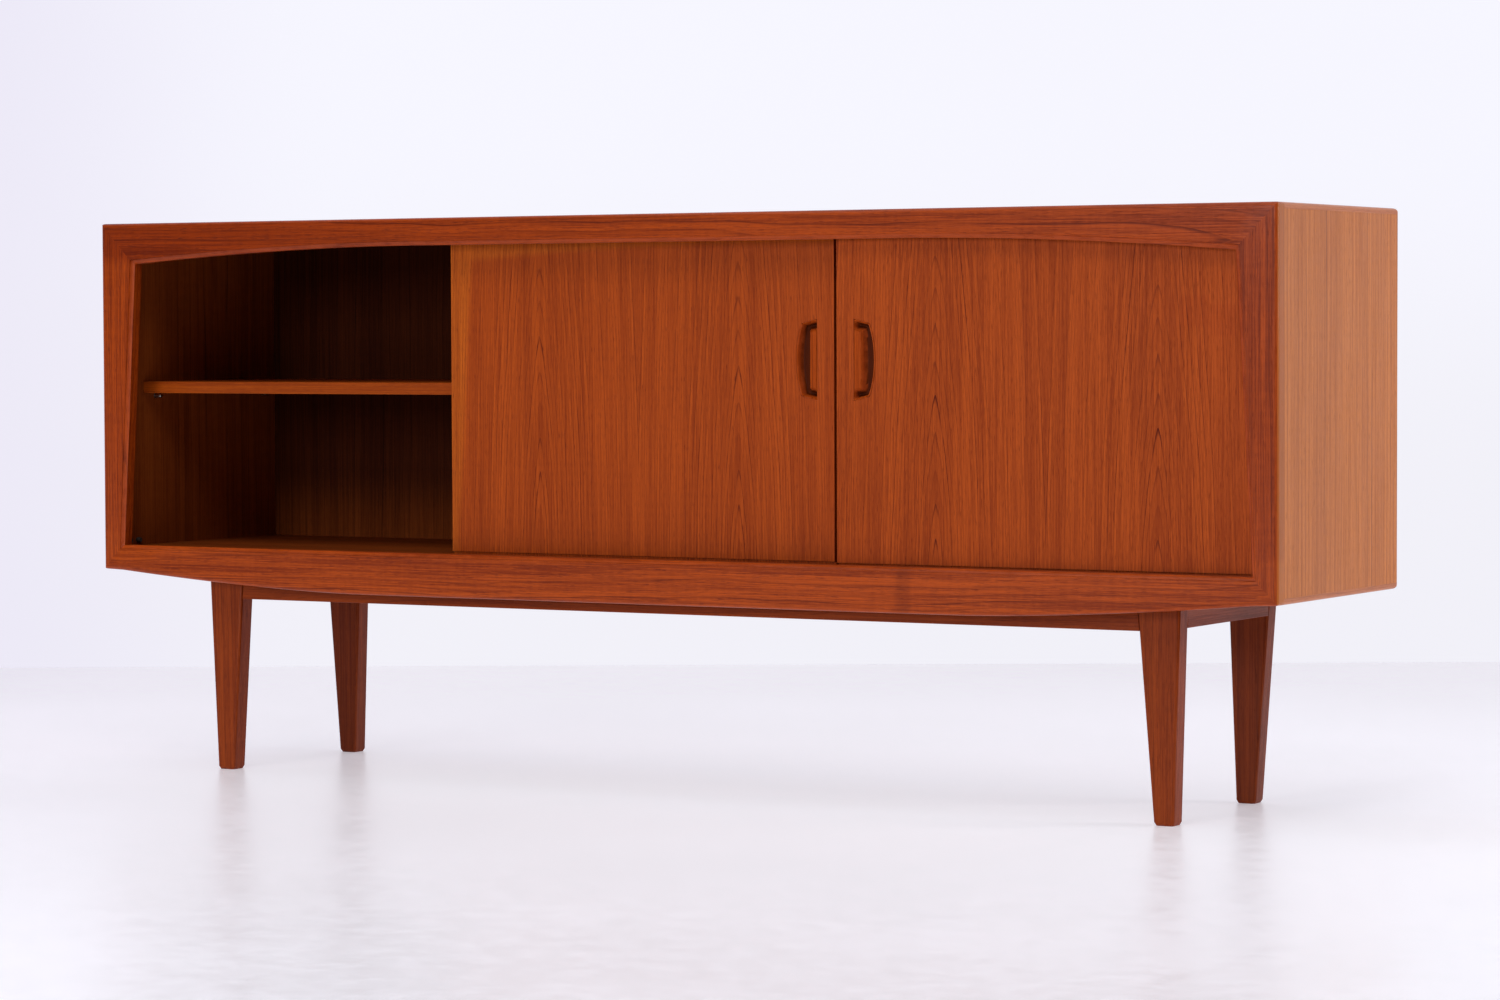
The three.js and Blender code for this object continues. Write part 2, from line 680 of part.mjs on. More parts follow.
for (const [side, sign] of [['left', -1], ['right', 1]]) {
  for (const end of ['front', 'rear']) {
    add(`${side}_${end}_leg`, legGeometry(end, sign), material(TEAK_LEG, 0.45));
  }
  // Side apron: its ends follow the leaning faces of the two legs.
  const low = BODY_UNDERSIDE - SIDE_APRON_DROP;
  const outline = [
    [legFaces('front', low).back, low],
    [legFaces('rear', low).front, low],
    [legFaces('rear', FLOOR_UNDER).front, FLOOR_UNDER],
    [legFaces('front', FLOOR_UNDER).back, FLOOR_UNDER],
  ];
  const xs = sideApronX.map((x) => sign * x).sort((a, b) => a - b);
  add(`${side}_apron`, prismAlongX(outline, ...xs), material(TEAK_LEG, 0.5));
}

// Long aprons: their ends follow the tapered inner faces of the legs.
for (const end of ['front', 'rear']) {
  const low = BODY_UNDERSIDE - LONG_APRON_DROP;
  const lowX = legFaces(end, low).inner;
  const highX = legFaces(end, FLOOR_UNDER).inner;
  const outline = [[-lowX, low], [lowX, low], [highX, FLOOR_UNDER], [-highX, FLOOR_UNDER]];
  const y0 = end === 'front'
    ? frontLegY + APRON_SETBACK
    : rearLegY + LEG_T - APRON_SETBACK - APRON_T;
  add(`${end}_apron`, prismAlongY(outline, y0, y0 + APRON_T), material(TEAK_LEG, 0.5));
}

// ---- corner blocks and the screws that hold the cabinet to the leg frame ----
for (const { name, outline, screw } of blocks) {
  const turned = THREE.ShapeUtils.area(outline.map(([x, y]) => new THREE.Vector2(x, y))) < 0;
  const block = prismAlongZ(turned ? [...outline].reverse() : outline, blockBottom, FLOOR_UNDER);
  const boreEnds = [blockBottom - CUT_OVER, FLOOR_UNDER + CUT_OVER];
  const bore = cylinderAlongZ(SCREW_R + FIT, ...boreEnds, screw.x, screw.y);
  add(`${name}_corner_block`, cut(block, [bore]), material(TEAK_LEG, 0.6));
  const tip = FLOOR_UNDER + SCREW_BITE;
  const profile = [
    [0, blockBottom - SCREW_HEAD_T],
    [SCREW_HEAD_R, blockBottom - SCREW_HEAD_T],
    [SCREW_HEAD_R, blockBottom],
    [SCREW_R, blockBottom],
    [SCREW_R, tip - SCREW_R],
    [0, tip],
  ].map(([r, z]) => new THREE.Vector2(r, z));
  const geometry = new THREE.LatheGeometry(profile, ROUND_SEGMENTS);
  geometry.rotateX(Math.PI / 2);
  add(`${name}_base_screw`, geometry, material(STEEL, 0.35, 0.9), screw.x, screw.y, 0);
}

export default group;
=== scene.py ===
# %% [markdown]
# # A teak television cabinet with sliding doors
# This lesson dresses a finished cabinet model. Nothing is moved: every size and place is read
# from the measured parts.

# %% Load the measured parts
import json
import math
import random

import bmesh
import bpy
from mathutils import Matrix, Vector


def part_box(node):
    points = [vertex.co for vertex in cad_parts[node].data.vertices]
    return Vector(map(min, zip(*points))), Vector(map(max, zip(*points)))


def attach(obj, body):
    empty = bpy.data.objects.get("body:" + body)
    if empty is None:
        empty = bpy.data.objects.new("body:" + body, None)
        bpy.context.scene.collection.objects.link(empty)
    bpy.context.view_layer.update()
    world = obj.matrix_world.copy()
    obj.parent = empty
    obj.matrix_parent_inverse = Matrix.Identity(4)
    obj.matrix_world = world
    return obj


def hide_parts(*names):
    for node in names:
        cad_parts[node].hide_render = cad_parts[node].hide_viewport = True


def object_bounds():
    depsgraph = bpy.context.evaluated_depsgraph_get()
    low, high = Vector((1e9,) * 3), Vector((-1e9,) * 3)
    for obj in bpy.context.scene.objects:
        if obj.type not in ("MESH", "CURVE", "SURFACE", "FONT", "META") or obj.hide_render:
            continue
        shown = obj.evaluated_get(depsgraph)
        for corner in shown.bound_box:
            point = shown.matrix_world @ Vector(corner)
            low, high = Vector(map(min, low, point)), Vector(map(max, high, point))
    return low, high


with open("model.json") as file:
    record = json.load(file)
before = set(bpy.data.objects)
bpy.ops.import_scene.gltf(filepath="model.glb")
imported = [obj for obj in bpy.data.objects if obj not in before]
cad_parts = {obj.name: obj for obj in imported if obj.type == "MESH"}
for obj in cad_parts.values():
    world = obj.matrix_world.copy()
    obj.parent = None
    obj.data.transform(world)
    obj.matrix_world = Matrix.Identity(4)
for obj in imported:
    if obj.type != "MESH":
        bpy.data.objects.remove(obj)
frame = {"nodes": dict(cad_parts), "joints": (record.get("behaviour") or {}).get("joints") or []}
cad_box = [list(corner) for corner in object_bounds()]
scene = bpy.context.scene
scene.view_settings.view_transform = "Standard"
CABINET = "cabinet"
LEFT_DOOR = "left_sliding_door"
RIGHT_DOOR = "right_sliding_door"
MM = 0.001
frame_low, frame_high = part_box("frame_left_stile")[0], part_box("frame_right_stile")[1]
HALF = frame_high.x
TOP = frame_high.z
UNDERSIDE = frame_low.z
print("measured parts:", len(frame["nodes"]), "box:", cad_box)

# %% [markdown]
# ## The camera
# A long lens from about six metres keeps the long front nearly straight. The camera stands to the
# right, a little below the cabinet's top, so both the front and the right end show and the top
# doesn't. Turn, dip and roll are applied one after the other, as on a tripod head.

# %% Place the camera
CAMERA_PLACE = Vector((3.006, -5.096, 0.641))
CAMERA_TURN = math.radians(30.11)
CAMERA_DIP = math.radians(2.343)
CAMERA_ROLL = math.radians(-0.214)
CAMERA_LENS = 102.05


def place_camera():
    """A camera on a tripod: turned, dipped and slightly rolled."""
    data = bpy.data.cameras.new("camera")
    data.lens = CAMERA_LENS
    data.sensor_width = 36.0
    data.clip_end = 200.0
    camera = bpy.data.objects.new("camera", data)
    scene.collection.objects.link(camera)
    turn = Matrix.Rotation(CAMERA_TURN, 4, "Z")
    dip = Matrix.Rotation(math.pi / 2 - CAMERA_DIP, 4, "X")
    roll = Matrix.Rotation(CAMERA_ROLL, 4, "Z")
    camera.matrix_world = Matrix.Translation(CAMERA_PLACE) @ turn @ dip @ roll
    scene.camera = camera
    return camera


camera = place_camera()
print("camera lens:", camera.data.lens, "mm")

# %% [markdown]
# ## Small helpers for node trees
# A procedural material is a chain of small sums. These helpers add a node, and join numbers or
# sockets to it, so that each material below reads as a short recipe.

# %% Node helpers


def add_node(tree, kind, **settings):
    """A new node with its settings."""
    made = tree.nodes.new(kind)
    for key, value in settings.items():
        setattr(made, key, value)
    return made


def feed(tree, socket, value):
    """Links a socket into another one, or sets it to a plain value."""
    if isinstance(value, bpy.types.NodeSocket):
        tree.links.new(value, socket)
    else:
        socket.default_value = value


def maths(tree, operation, first, second=0.0, third=0.0, clamp=False):
    """One Math node, given as its operation and its inputs."""
    made = add_node(tree, "ShaderNodeMath", operation=operation, use_clamp=clamp)
    for socket, value in zip(made.inputs, (first, second, third)):
        feed(tree, socket, value)
    return made.outputs[0]


def vector_maths(tree, operation, first, second):
    """One Vector Math node."""
    made = add_node(tree, "ShaderNodeVectorMath", operation=operation)
    feed(tree, made.inputs[0], first)
    feed(tree, made.inputs[1], second)
    return made.outputs[0]


def rescale(tree, value, low, high, to_low=0.0, to_high=1.0):
    """Maps one range of values to another, with soft ends."""
    made = add_node(tree, "ShaderNodeMapRange", interpolation_type="SMOOTHSTEP")
    for name, number in (("Value", value), ("From Min", low), ("From Max", high)):
        feed(tree, made.inputs[name], number)
    feed(tree, made.inputs["To Min"], to_low)
    feed(tree, made.inputs["To Max"], to_high)
    return made.outputs[0]


def noise(tree, vector, scale, detail=2.0, roughness=0.5):
    """Noise stretched by a scale for each of the three wood directions."""
    made = add_node(tree, "ShaderNodeTexNoise", noise_dimensions="3D")
    feed(tree, made.inputs["Vector"], vector_maths(tree, "MULTIPLY", vector, scale))
    made.inputs["Scale"].default_value = 1.0
    made.inputs["Detail"].default_value = detail
    made.inputs["Roughness"].default_value = roughness
    return made.outputs[0]


def mix(tree, share, first, second, blend="MIX"):
    """Mixes two colours."""
    made = add_node(tree, "ShaderNodeMix", data_type="RGBA", blend_type=blend)
    feed(tree, made.inputs[0], share)
    feed(tree, made.inputs[6], first)
    feed(tree, made.inputs[7], second)
    return made.outputs[2]


def tinted(tree, colour, factors):
    """The colour with its red, green and blue multiplied by factors."""
    return mix(tree, 1.0, colour, (*factors, 1.0), "MULTIPLY")


def split(tree, vector):
    """The three numbers of a vector."""
    made = add_node(tree, "ShaderNodeSeparateXYZ")
    feed(tree, made.inputs[0], vector)
    return made.outputs


def object_vector(tree):
    """The point's place in metres. Every piece keeps its origin in the cabinet's origin."""
    return add_node(tree, "ShaderNodeTexCoord").outputs["Object"]


def object_place(tree):
    """The point's place in metres, as X, Y and Z sockets."""
    return split(tree, object_vector(tree))


def near(tree, value, centre, half, soft):
    """One within half of the centre, falling to nothing over the soft distance."""
    away = maths(tree, "ABSOLUTE", maths(tree, "SUBTRACT", value, centre))
    return rescale(tree, away, half, half + soft, 1.0, 0.0)


def new_group(name, inputs, outputs):
    """An empty shader node group with named sockets. Returns the tree, its inputs and its outputs."""
    tree = bpy.data.node_groups.new(name, "ShaderNodeTree")
    for label, kind, value in inputs:
        socket = tree.interface.new_socket(label, in_out="INPUT", socket_type=kind)
        if value is not None:
            socket.default_value = value
    for label, kind in outputs:
        tree.interface.new_socket(label, in_out="OUTPUT", socket_type=kind)
    start = add_node(tree, "NodeGroupInput")
    end = add_node(tree, "NodeGroupOutput")
    return tree, start.outputs, end.inputs


FLOAT = "NodeSocketFloat"
VECTOR = "NodeSocketVector"
COLOR = "NodeSocketColor"

# %% [markdown]
# ## Teak, as one shader group
# A board is cut from a trunk, so its figure is a slice through growth rings. The cut runs slightly
# slantwise to the heart: over the heart it crosses ring after ring in nested arches, and to the
# sides it follows the rings in straight lines. Trunks are never quite round, so the arches come
# out pointed: a power a little below two does that. The group measures the distance from the heart,
# which grows along the grain by the taper, and numbers the rings. Some rings end in a dark thin
# line, and each has a tone of its own. Fine fibres, short open pores, pale flecks, slow bands of
# colour and a faint ripple across the grain go on top. The wood directions come from an attribute
# on every piece: across the face, through the board, and along the grain.

# %% The teak group
ARCH_POINT = 1.45


def build_teak_group():
    """Growth rings, fibres, pores, flecks and ripple, from three colours of the wood."""
    tree, given, result = new_group(
        "teak_wood",
        [
            ("Wood", VECTOR, None),
            ("Light", COLOR, (0.45, 0.12, 0.03, 1)),
            ("Middle", COLOR, (0.33, 0.06, 0.012, 1)),
            ("Dark", COLOR, (0.15, 0.025, 0.006, 1)),
            ("Ring Width", FLOAT, 0.007),
            ("Taper", FLOAT, 0.07),
            ("Heart Depth", FLOAT, 0.035),
            ("Wander", FLOAT, 0.006),
            ("Line Strength", FLOAT, 0.6),
            ("Fibre Strength", FLOAT, 0.5),
            ("Pore Strength", FLOAT, 0.5),
            ("Ripple Strength", FLOAT, 0.2),
            ("Roughness", FLOAT, 0.4),
        ],
        [("Color", COLOR), ("Roughness", FLOAT), ("Height", FLOAT)],
    )
    wood = given["Wood"]
    across, through, along = split(tree, wood)

    # The rings bend slowly along the trunk, and jitter a little where the tree grew unevenly.
    bend = maths(tree, "SUBTRACT", noise(tree, wood, (9.0, 9.0, 2.2), detail=2.0), 0.5)
    bend = maths(tree, "MULTIPLY", bend, maths(tree, "MULTIPLY", given["Wander"], 6.0))
    jitter = maths(tree, "SUBTRACT", noise(tree, wood, (60.0, 60.0, 7.0), detail=3.0), 0.5)
    bend = maths(tree, "MULTIPLY_ADD", jitter, 0.0028, bend)
    deep = maths(tree, "ADD", through, given["Heart Depth"])
    deep = maths(tree, "MULTIPLY_ADD", along, given["Taper"], deep)
    sideways = maths(tree, "POWER", maths(tree, "ABSOLUTE", across), ARCH_POINT)
    inward = maths(tree, "POWER", maths(tree, "ABSOLUTE", deep), ARCH_POINT)
    radius = maths(tree, "POWER", maths(tree, "ADD", sideways, inward), 1.0 / ARCH_POINT)
    rings = maths(tree, "DIVIDE", maths(tree, "ADD", radius, bend), given["Ring Width"])
    share = maths(tree, "FRACT", rings)
    draw = add_node(tree, "ShaderNodeTexWhiteNoise", noise_dimensions="1D")
    feed(tree, draw.inputs["W"], maths(tree, "FLOOR", rings))
    ring_tone = draw.outputs[0]

    # Late wood darkens the end of a ring. Few rings are strong, and each line breaks up.
    late = rescale(tree, share, 0.70, 0.94)
    late = maths(tree, "MULTIPLY", late, rescale(tree, share, 0.95, 1.0, 1.0, 0.0))
    strong = maths(tree, "POWER", ring_tone, 2.0)
    late = maths(tree, "MULTIPLY", late, maths(tree, "MULTIPLY_ADD", strong, 0.9, 0.16))
    broken = rescale(tree, noise(tree, wood, (210.0, 210.0, 5.0), detail=3.0), 0.34, 0.60, 0.4, 1.0)
    late = maths(tree, "MULTIPLY", late, broken)

    fibre_wide = noise(tree, wood, (300.0, 300.0, 1.6), detail=3.0, roughness=0.65)
    fibre_fine = noise(tree, wood, (900.0, 900.0, 9.0), detail=3.0, roughness=0.7)
    fibres = maths(tree, "MULTIPLY_ADD", fibre_fine, 0.6, maths(tree, "MULTIPLY", fibre_wide, 0.4))
    fibres = rescale(tree, fibres, 0.38, 0.62)
    pores = rescale(tree, noise(tree, wood, (1500.0, 1500.0, 75.0), detail=1.0), 0.56, 0.70)
    pores = maths(tree, "MULTIPLY", pores, rescale(tree, share, 0.0, 0.8, 1.0, 0.45))
    flecks = rescale(tree, noise(tree, vector_maths(tree, "ADD", wood, (3.1, 1.7, 0.9)),
                                 (1250.0, 1250.0, 60.0), detail=1.0), 0.60, 0.74)

    bands = rescale(tree, noise(tree, wood, (24.0, 24.0, 1.1), detail=2.0), 0.34, 0.66)
    ripple = noise(tree, wood, (22.0, 22.0, 120.0), detail=2.0, roughness=0.6)
    ripple = maths(tree, "MULTIPLY", maths(tree, "SUBTRACT", ripple, 0.5), given["Ripple Strength"])

    tone = maths(tree, "MULTIPLY", maths(tree, "SUBTRACT", fibres, 0.5), given["Fibre Strength"])
    tone = maths(tree, "ADD", tone, maths(tree, "MULTIPLY_ADD", bands, 0.34, 0.33))
    tone = maths(tree, "MULTIPLY_ADD", maths(tree, "SUBTRACT", ring_tone, 0.5), 0.42, tone)
    tone = maths(tree, "MULTIPLY_ADD", flecks, maths(tree, "MULTIPLY", given["Fibre Strength"], 0.6), tone)
    tone = maths(tree, "ADD", tone, ripple, clamp=True)
    colour = mix(tree, tone, given["Middle"], given["Light"])
    line = maths(tree, "MULTIPLY", late, given["Line Strength"], clamp=True)
    colour = mix(tree, line, colour, given["Dark"])
    pits = maths(tree, "MULTIPLY", pores, given["Pore Strength"], clamp=True)
    colour = mix(tree, pits, colour, given["Dark"])
    feed(tree, result["Color"], colour)

    rough = maths(tree, "MULTIPLY_ADD", maths(tree, "SUBTRACT", fibres, 0.5), -0.10, given["Roughness"])
    rough = maths(tree, "MULTIPLY_ADD", pits, 0.25, rough)
    rough = maths(tree, "MULTIPLY_ADD", line, 0.06, rough, clamp=True)
    feed(tree, result["Roughness"], rough)
    height = maths(tree, "MULTIPLY_ADD", pits, -1.0, maths(tree, "MULTIPLY", fibres, 0.35))
    height = maths(tree, "MULTIPLY_ADD", late, -0.3, height)
    feed(tree, result["Height"], height)
    return tree


teak_group = build_teak_group()
print("teak group nodes:", len(teak_group.nodes))

# %% [markdown]
# ## Handling wear and a painted edge highlight, as a second group
# Oil, hands and sunlight change old wood unevenly. Corners are rubbed paler, and that paler colour
# also serves as a painted highlight along the arrises. Faint smudges change the gloss without
# changing the colour. The group takes the wood's colour and roughness and gives them back worn and
# highlit. The corner mask is an attribute that each piece carries.

# %% The wear and highlight group


def build_wear_highlight_group():
    """Rubbed arrises, whose paler colour is also a painted highlight, and smudged gloss over any finish."""
    tree, given, result = new_group(
        "wear_and_edge_highlight",
        [
            ("Color", COLOR, (0.5, 0.5, 0.5, 1)),
            ("Roughness", FLOAT, 0.4),
            ("Place", VECTOR, None),
            ("Arris", FLOAT, 0.0),
            ("Rub And Highlight", FLOAT, 0.3),
            ("Rub Highlight Color", COLOR, (0.55, 0.2, 0.07, 1)),
            ("Smudge", FLOAT, 0.06),
        ],
        [("Color", COLOR), ("Roughness", FLOAT)],
    )
    patches = noise(tree, given["Place"], (38.0, 38.0, 38.0), detail=4.0, roughness=0.65)
    # The arrises are made paler: rubbed wear, and also a painted highlight where an edge catches the light.
    rubbed_and_highlit = maths(tree, "MULTIPLY", given["Arris"], rescale(tree, patches, 0.38, 0.62, 0.35, 1.0))
    rubbed_and_highlit = maths(tree, "MULTIPLY", rubbed_and_highlit, given["Rub And Highlight"], clamp=True)
    feed(tree, result["Color"], mix(tree, rubbed_and_highlit, given["Color"], given["Rub Highlight Color"]))
    smudges = noise(tree, given["Place"], (7.0, 7.0, 7.0), detail=5.0, roughness=0.7)
    smudges = maths(tree, "MULTIPLY", maths(tree, "SUBTRACT", smudges, 0.5), given["Smudge"])
    rough = maths(tree, "MULTIPLY_ADD", smudges, 2.0, given["Roughness"])
    feed(tree, result["Roughness"], maths(tree, "MULTIPLY_ADD", rubbed_and_highlit, -0.05, rough, clamp=True))
    return tree


wear_highlight_group = build_wear_highlight_group()
print("wear group nodes:", len(wear_highlight_group.nodes))

# %% [markdown]
# ## The teak finishes
# The front frame is solid oiled teak, deep orange red. The doors are matched veneer. The ends and
# the top have faded paler. The inside hardly saw the sun and was never oiled, and its dark colours
# also hold painted shade for the bays; the back's front face is near black with painted shade. The
# leg frame is browner. They are one recipe with different colours and different cuts of the trunk.
# Some finishes also carry marks of their own, such as a dark band or a faded end, and some carry
# painted light and shade: a dark pull hollow, shaded rear legs, a lit foot of the back, a shaded
# left half of the top rail and a lit bottom rail.

# %% Teak materials
LEAF_SLIP = 20 * MM
FADED = (0.50, 0.155, 0.021, 1.0)
BAND_X = HALF - 528 * MM
BOTTOM_RAIL_TOP = (UNDERSIDE + 50 * MM, UNDERSIDE + 60 * MM)
TOP_RAIL_FOOT = (TOP - 63 * MM, TOP - 43 * MM)
BACK_FOOT = (UNDERSIDE + 25 * MM, UNDERSIDE + 140 * MM)


def new_material(name):
    """A material, its node tree and its shader."""
    material = bpy.data.materials.new(name)
    material.use_nodes = True
    tree = material.node_tree
    return material, tree, tree.nodes["Principled BSDF"]


def give_relief(tree, shader, height, strength, distance):
    """Turns a height into a fine relief of the surface."""
    relief = add_node(tree, "ShaderNodeBump")
    relief.inputs["Strength"].default_value = strength
    relief.inputs["Distance"].default_value = distance
    feed(tree, relief.inputs["Height"], height)
    feed(tree, shader.inputs["Normal"], relief.outputs["Normal"])


def attribute(tree, name, output):
    """An attribute that the piece carries."""
    made = add_node(tree, "ShaderNodeAttribute", attribute_type="GEOMETRY", attribute_name=name)
    return made.outputs[output]


def cut(*numbers):
    """How a piece was cut from the trunk, and how strong its figure is, for the teak group."""
    labels = ("Ring Width", "Taper", "Heart Depth", "Wander", "Line Strength", "Fibre Strength",
              "Pore Strength", "Ripple Strength", "Roughness")
    return dict(zip(labels, numbers))


def teak_finish(name, light, middle, dark, figure, rub_and_highlight=0.3, gloss=0.25, coat=0.0,
                fold=None, change=None):
    """A teak material. figure holds the group's numbers. fold is half a leaf of a matched veneer:
    the wood is mirrored about the door's middle. change is a function that alters the colour."""
    material, tree, shader = new_material(name)
    wood = attribute(tree, "wood", "Vector")
    if fold is not None:
        across, through, along = split(tree, wood)
        mirrored = maths(tree, "SUBTRACT", maths(tree, "ABSOLUTE", across), fold)
        slipped = maths(tree, "MULTIPLY_ADD", maths(tree, "SIGN", across), LEAF_SLIP, along)
        joined = add_node(tree, "ShaderNodeCombineXYZ")
        for socket, value in zip(joined.inputs, (mirrored, through, slipped)):
            feed(tree, socket, value)
        wood = joined.outputs[0]
    teak = add_node(tree, "ShaderNodeGroup", node_tree=teak_group)
    feed(tree, teak.inputs["Wood"], wood)
    for label, colour in (("Light", light), ("Middle", middle), ("Dark", dark)):
        teak.inputs[label].default_value = (*colour, 1.0)
    for label, number in figure.items():
        teak.inputs[label].default_value = number
    colour = teak.outputs["Color"]
    if change is not None:
        colour = change(tree, colour)
    worn_and_highlit = add_node(tree, "ShaderNodeGroup", node_tree=wear_highlight_group)
    feed(tree, worn_and_highlit.inputs["Color"], colour)
    feed(tree, worn_and_highlit.inputs["Roughness"], teak.outputs["Roughness"])
    feed(tree, worn_and_highlit.inputs["Place"], object_vector(tree))
    feed(tree, worn_and_highlit.inputs["Arris"], attribute(tree, "arris", "Fac"))
    worn_and_highlit.inputs["Rub And Highlight"].default_value = rub_and_highlight
    # The paler arris colour stands for rubbed wear and also for a painted highlight.
    rubbed_and_highlit = (min(1.0, 1.15 * part + 0.012) for part in light)
    worn_and_highlit.inputs["Rub Highlight Color"].default_value = (*rubbed_and_highlit, 1.0)
    feed(tree, shader.inputs["Base Color"], worn_and_highlit.outputs["Color"])
    feed(tree, shader.inputs["Roughness"], worn_and_highlit.outputs["Roughness"])
    give_relief(tree, shader, teak.outputs["Height"], 0.3, 0.4 * MM)
    shader.inputs["Specular IOR Level"].default_value = gloss
    shader.inputs["Coat Weight"].default_value = coat
    shader.inputs["Coat Roughness"].default_value = 0.12
    return material


def frame_marks_and_light(tree, colour):
    """The faded tone of the cabinet's ends on the frame's own end faces, one dark band across the
    bottom rail, such as a grown-in twig leaves, painted shade that makes the top rail's left half a
    deeper red, and painted light that makes the bottom rail slightly paler."""
    share = maths(tree, "MULTIPLY", attribute(tree, "sunned", "Fac"), 0.75)
    colour = mix(tree, share, colour, mix(tree, 0.8, colour, FADED))
    across, _, up = object_place(tree)
    low = rescale(tree, up, *BOTTOM_RAIL_TOP, 1.0, 0.0)
    band = maths(tree, "MULTIPLY", near(tree, across, BAND_X, 4 * MM, 12 * MM), low)
    colour = mix(tree, maths(tree, "MULTIPLY", band, 0.3), colour, (0.09, 0.008, 0.001, 1.0))
    # Painted shade: the top rail's left half is made a deeper red.
    left = rescale(tree, across, -0.85, 0.05, 1.0, 0.0)
    left = maths(tree, "MULTIPLY", left, rescale(tree, up, *TOP_RAIL_FOOT))
    colour = mix(tree, left, colour, tinted(tree, colour, (0.70, 0.58, 0.50)))
    # Painted light: the bottom rail is made slightly paler.
    return mix(tree, low, colour, tinted(tree, colour, (1.13, 1.20, 1.22)))


def painted_hollow_shade(tree, colour):
    """Paints shade into a pull's cup, where the undercut keeps the light out: the deeper, the darker."""
    depth = split(tree, attribute(tree, "wood", "Vector"))[1]
    # Painted shade: near black at the bottom of the cup.
    share = rescale(tree, depth, 3 * MM, 11 * MM, 0.0, 0.85)
    return mix(tree, share, colour, (0.03, 0.005, 0.0012, 1.0))


def painted_rear_shade(tree, colour):
    """Paints shade on the rear legs, darker than the front ones, as they stand in the cabinet's shade."""
    behind = rescale(tree, object_place(tree)[1], -0.05, 0.08)
    return mix(tree, behind, colour, tinted(tree, colour, (0.67, 0.66, 0.66)))


def painted_foot_light(tree, colour):
    """Paints light on the foot of the back, where most light reaches into the open bays."""
    foot = rescale(tree, object_place(tree)[2], *BACK_FOOT, 1.0, 0.0)
    return mix(tree, foot, colour, tinted(tree, colour, (3.4, 4.0, 3.4)))


frame_teak = teak_finish(
    "frame_teak",
    (0.45, 0.065, 0.0055), (0.215, 0.024, 0.0018), (0.08, 0.0055, 0.0006),
    cut(0.0065, 0.012, 0.05, 0.004, 0.8, 0.9, 0.6, 0.4, 0.34),
    rub_and_highlight=0.4, gloss=0.12, coat=0.12, change=frame_marks_and_light,
)
side_teak = teak_finish(
    "faded_veneer",
    (0.62, 0.182, 0.022), (0.43, 0.108, 0.010), (0.17, 0.029, 0.004),
    cut(0.009, 0.002, 0.16, 0.002, 1.0, 0.85, 0.5, 0.06, 0.4),
    gloss=0.24,
)
lipping_teak = teak_finish(
    "lipping_teak",
    (0.58, 0.155, 0.019), (0.40, 0.090, 0.010), (0.15, 0.024, 0.004),
    cut(0.006, 0.003, 0.08, 0.003, 0.5, 0.6, 0.3, 0.2, 0.36),
    gloss=0.3, coat=0.1,
)
# Darker than the wood alone: these colours also hold painted shade for the bays.
inside_teak = teak_finish(
    "inside_teak",
    (0.31, 0.066, 0.010), (0.17, 0.031, 0.005), (0.06, 0.009, 0.0015),
    cut(0.010, 0.006, 0.12, 0.003, 0.6, 0.7, 0.4, 0.2, 0.5),
    rub_and_highlight=0.15, gloss=0.06,
)
# Near black: painted shade for the open bays, with painted light at the foot.
back_painted_shade_teak = teak_finish(
    "back_painted_shade_teak",
    (0.068, 0.0125, 0.0024), (0.034, 0.0055, 0.0011), (0.012, 0.0018, 0.0004),
    cut(0.012, 0.03, 0.03, 0.004, 0.8, 0.8, 0.3, 0.2, 0.55),
    rub_and_highlight=0.1, gloss=0.04, change=painted_foot_light,
)
shelf_teak = teak_finish(
    "shelf_teak",
    (0.46, 0.084, 0.006), (0.29, 0.043, 0.0028), (0.10, 0.011, 0.001),
    cut(0.005, 0.008, 0.03, 0.003, 0.5, 0.7, 0.4, 0.2, 0.42),
    rub_and_highlight=0.2, gloss=0.1,
)
leg_teak = teak_finish(
    "leg_teak",
    (0.35, 0.056, 0.006), (0.20, 0.026, 0.0026), (0.07, 0.007, 0.001),
    cut(0.0055, 0.016, 0.05, 0.003, 0.5, 0.7, 0.45, 0.2, 0.4),
    rub_and_highlight=0.3, gloss=0.12, coat=0.03, change=painted_rear_shade,
)
pull_teak = teak_finish(
    "pull_teak",
    (0.46, 0.072, 0.0065), (0.27, 0.035, 0.003), (0.09, 0.007, 0.0008),
    cut(0.004, 0.02, 0.05, 0.002, 0.6, 0.7, 0.4, 0.1, 0.36),
    rub_and_highlight=0.7, gloss=0.05, change=painted_hollow_shade,
)
for finish in (frame_teak, side_teak, lipping_teak, inside_teak, back_painted_shade_teak, shelf_teak, leg_teak, pull_teak):
    print("teak finish:", finish.name)

# %% [markdown]
# ## Where the frame shaded the left door
# When the left door is shut, the front frame covers a strip of it: the arched edge of the top rail
# and the slanted edge of the stile. Light reddened the rest, so the covered strip stayed pale. The
# mask is that outline itself, moved along by the door's travel. It uses the same rule as the rail:
# straight in the middle, then sweeping down to the corner.

# %% The pale strip
STILE_TOP_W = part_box("frame_left_stile")[1].x - frame_low.x
CORNER_LOW = 35.5 * MM
RAIL_MIDDLE = 38 * MM
ARCH_START = 400 * MM
ARCH_POWER = 1.8
joints = {joint["name"]: joint for joint in frame["joints"]}
SHUT = joints["left_door_slide"]["range_m"][0]


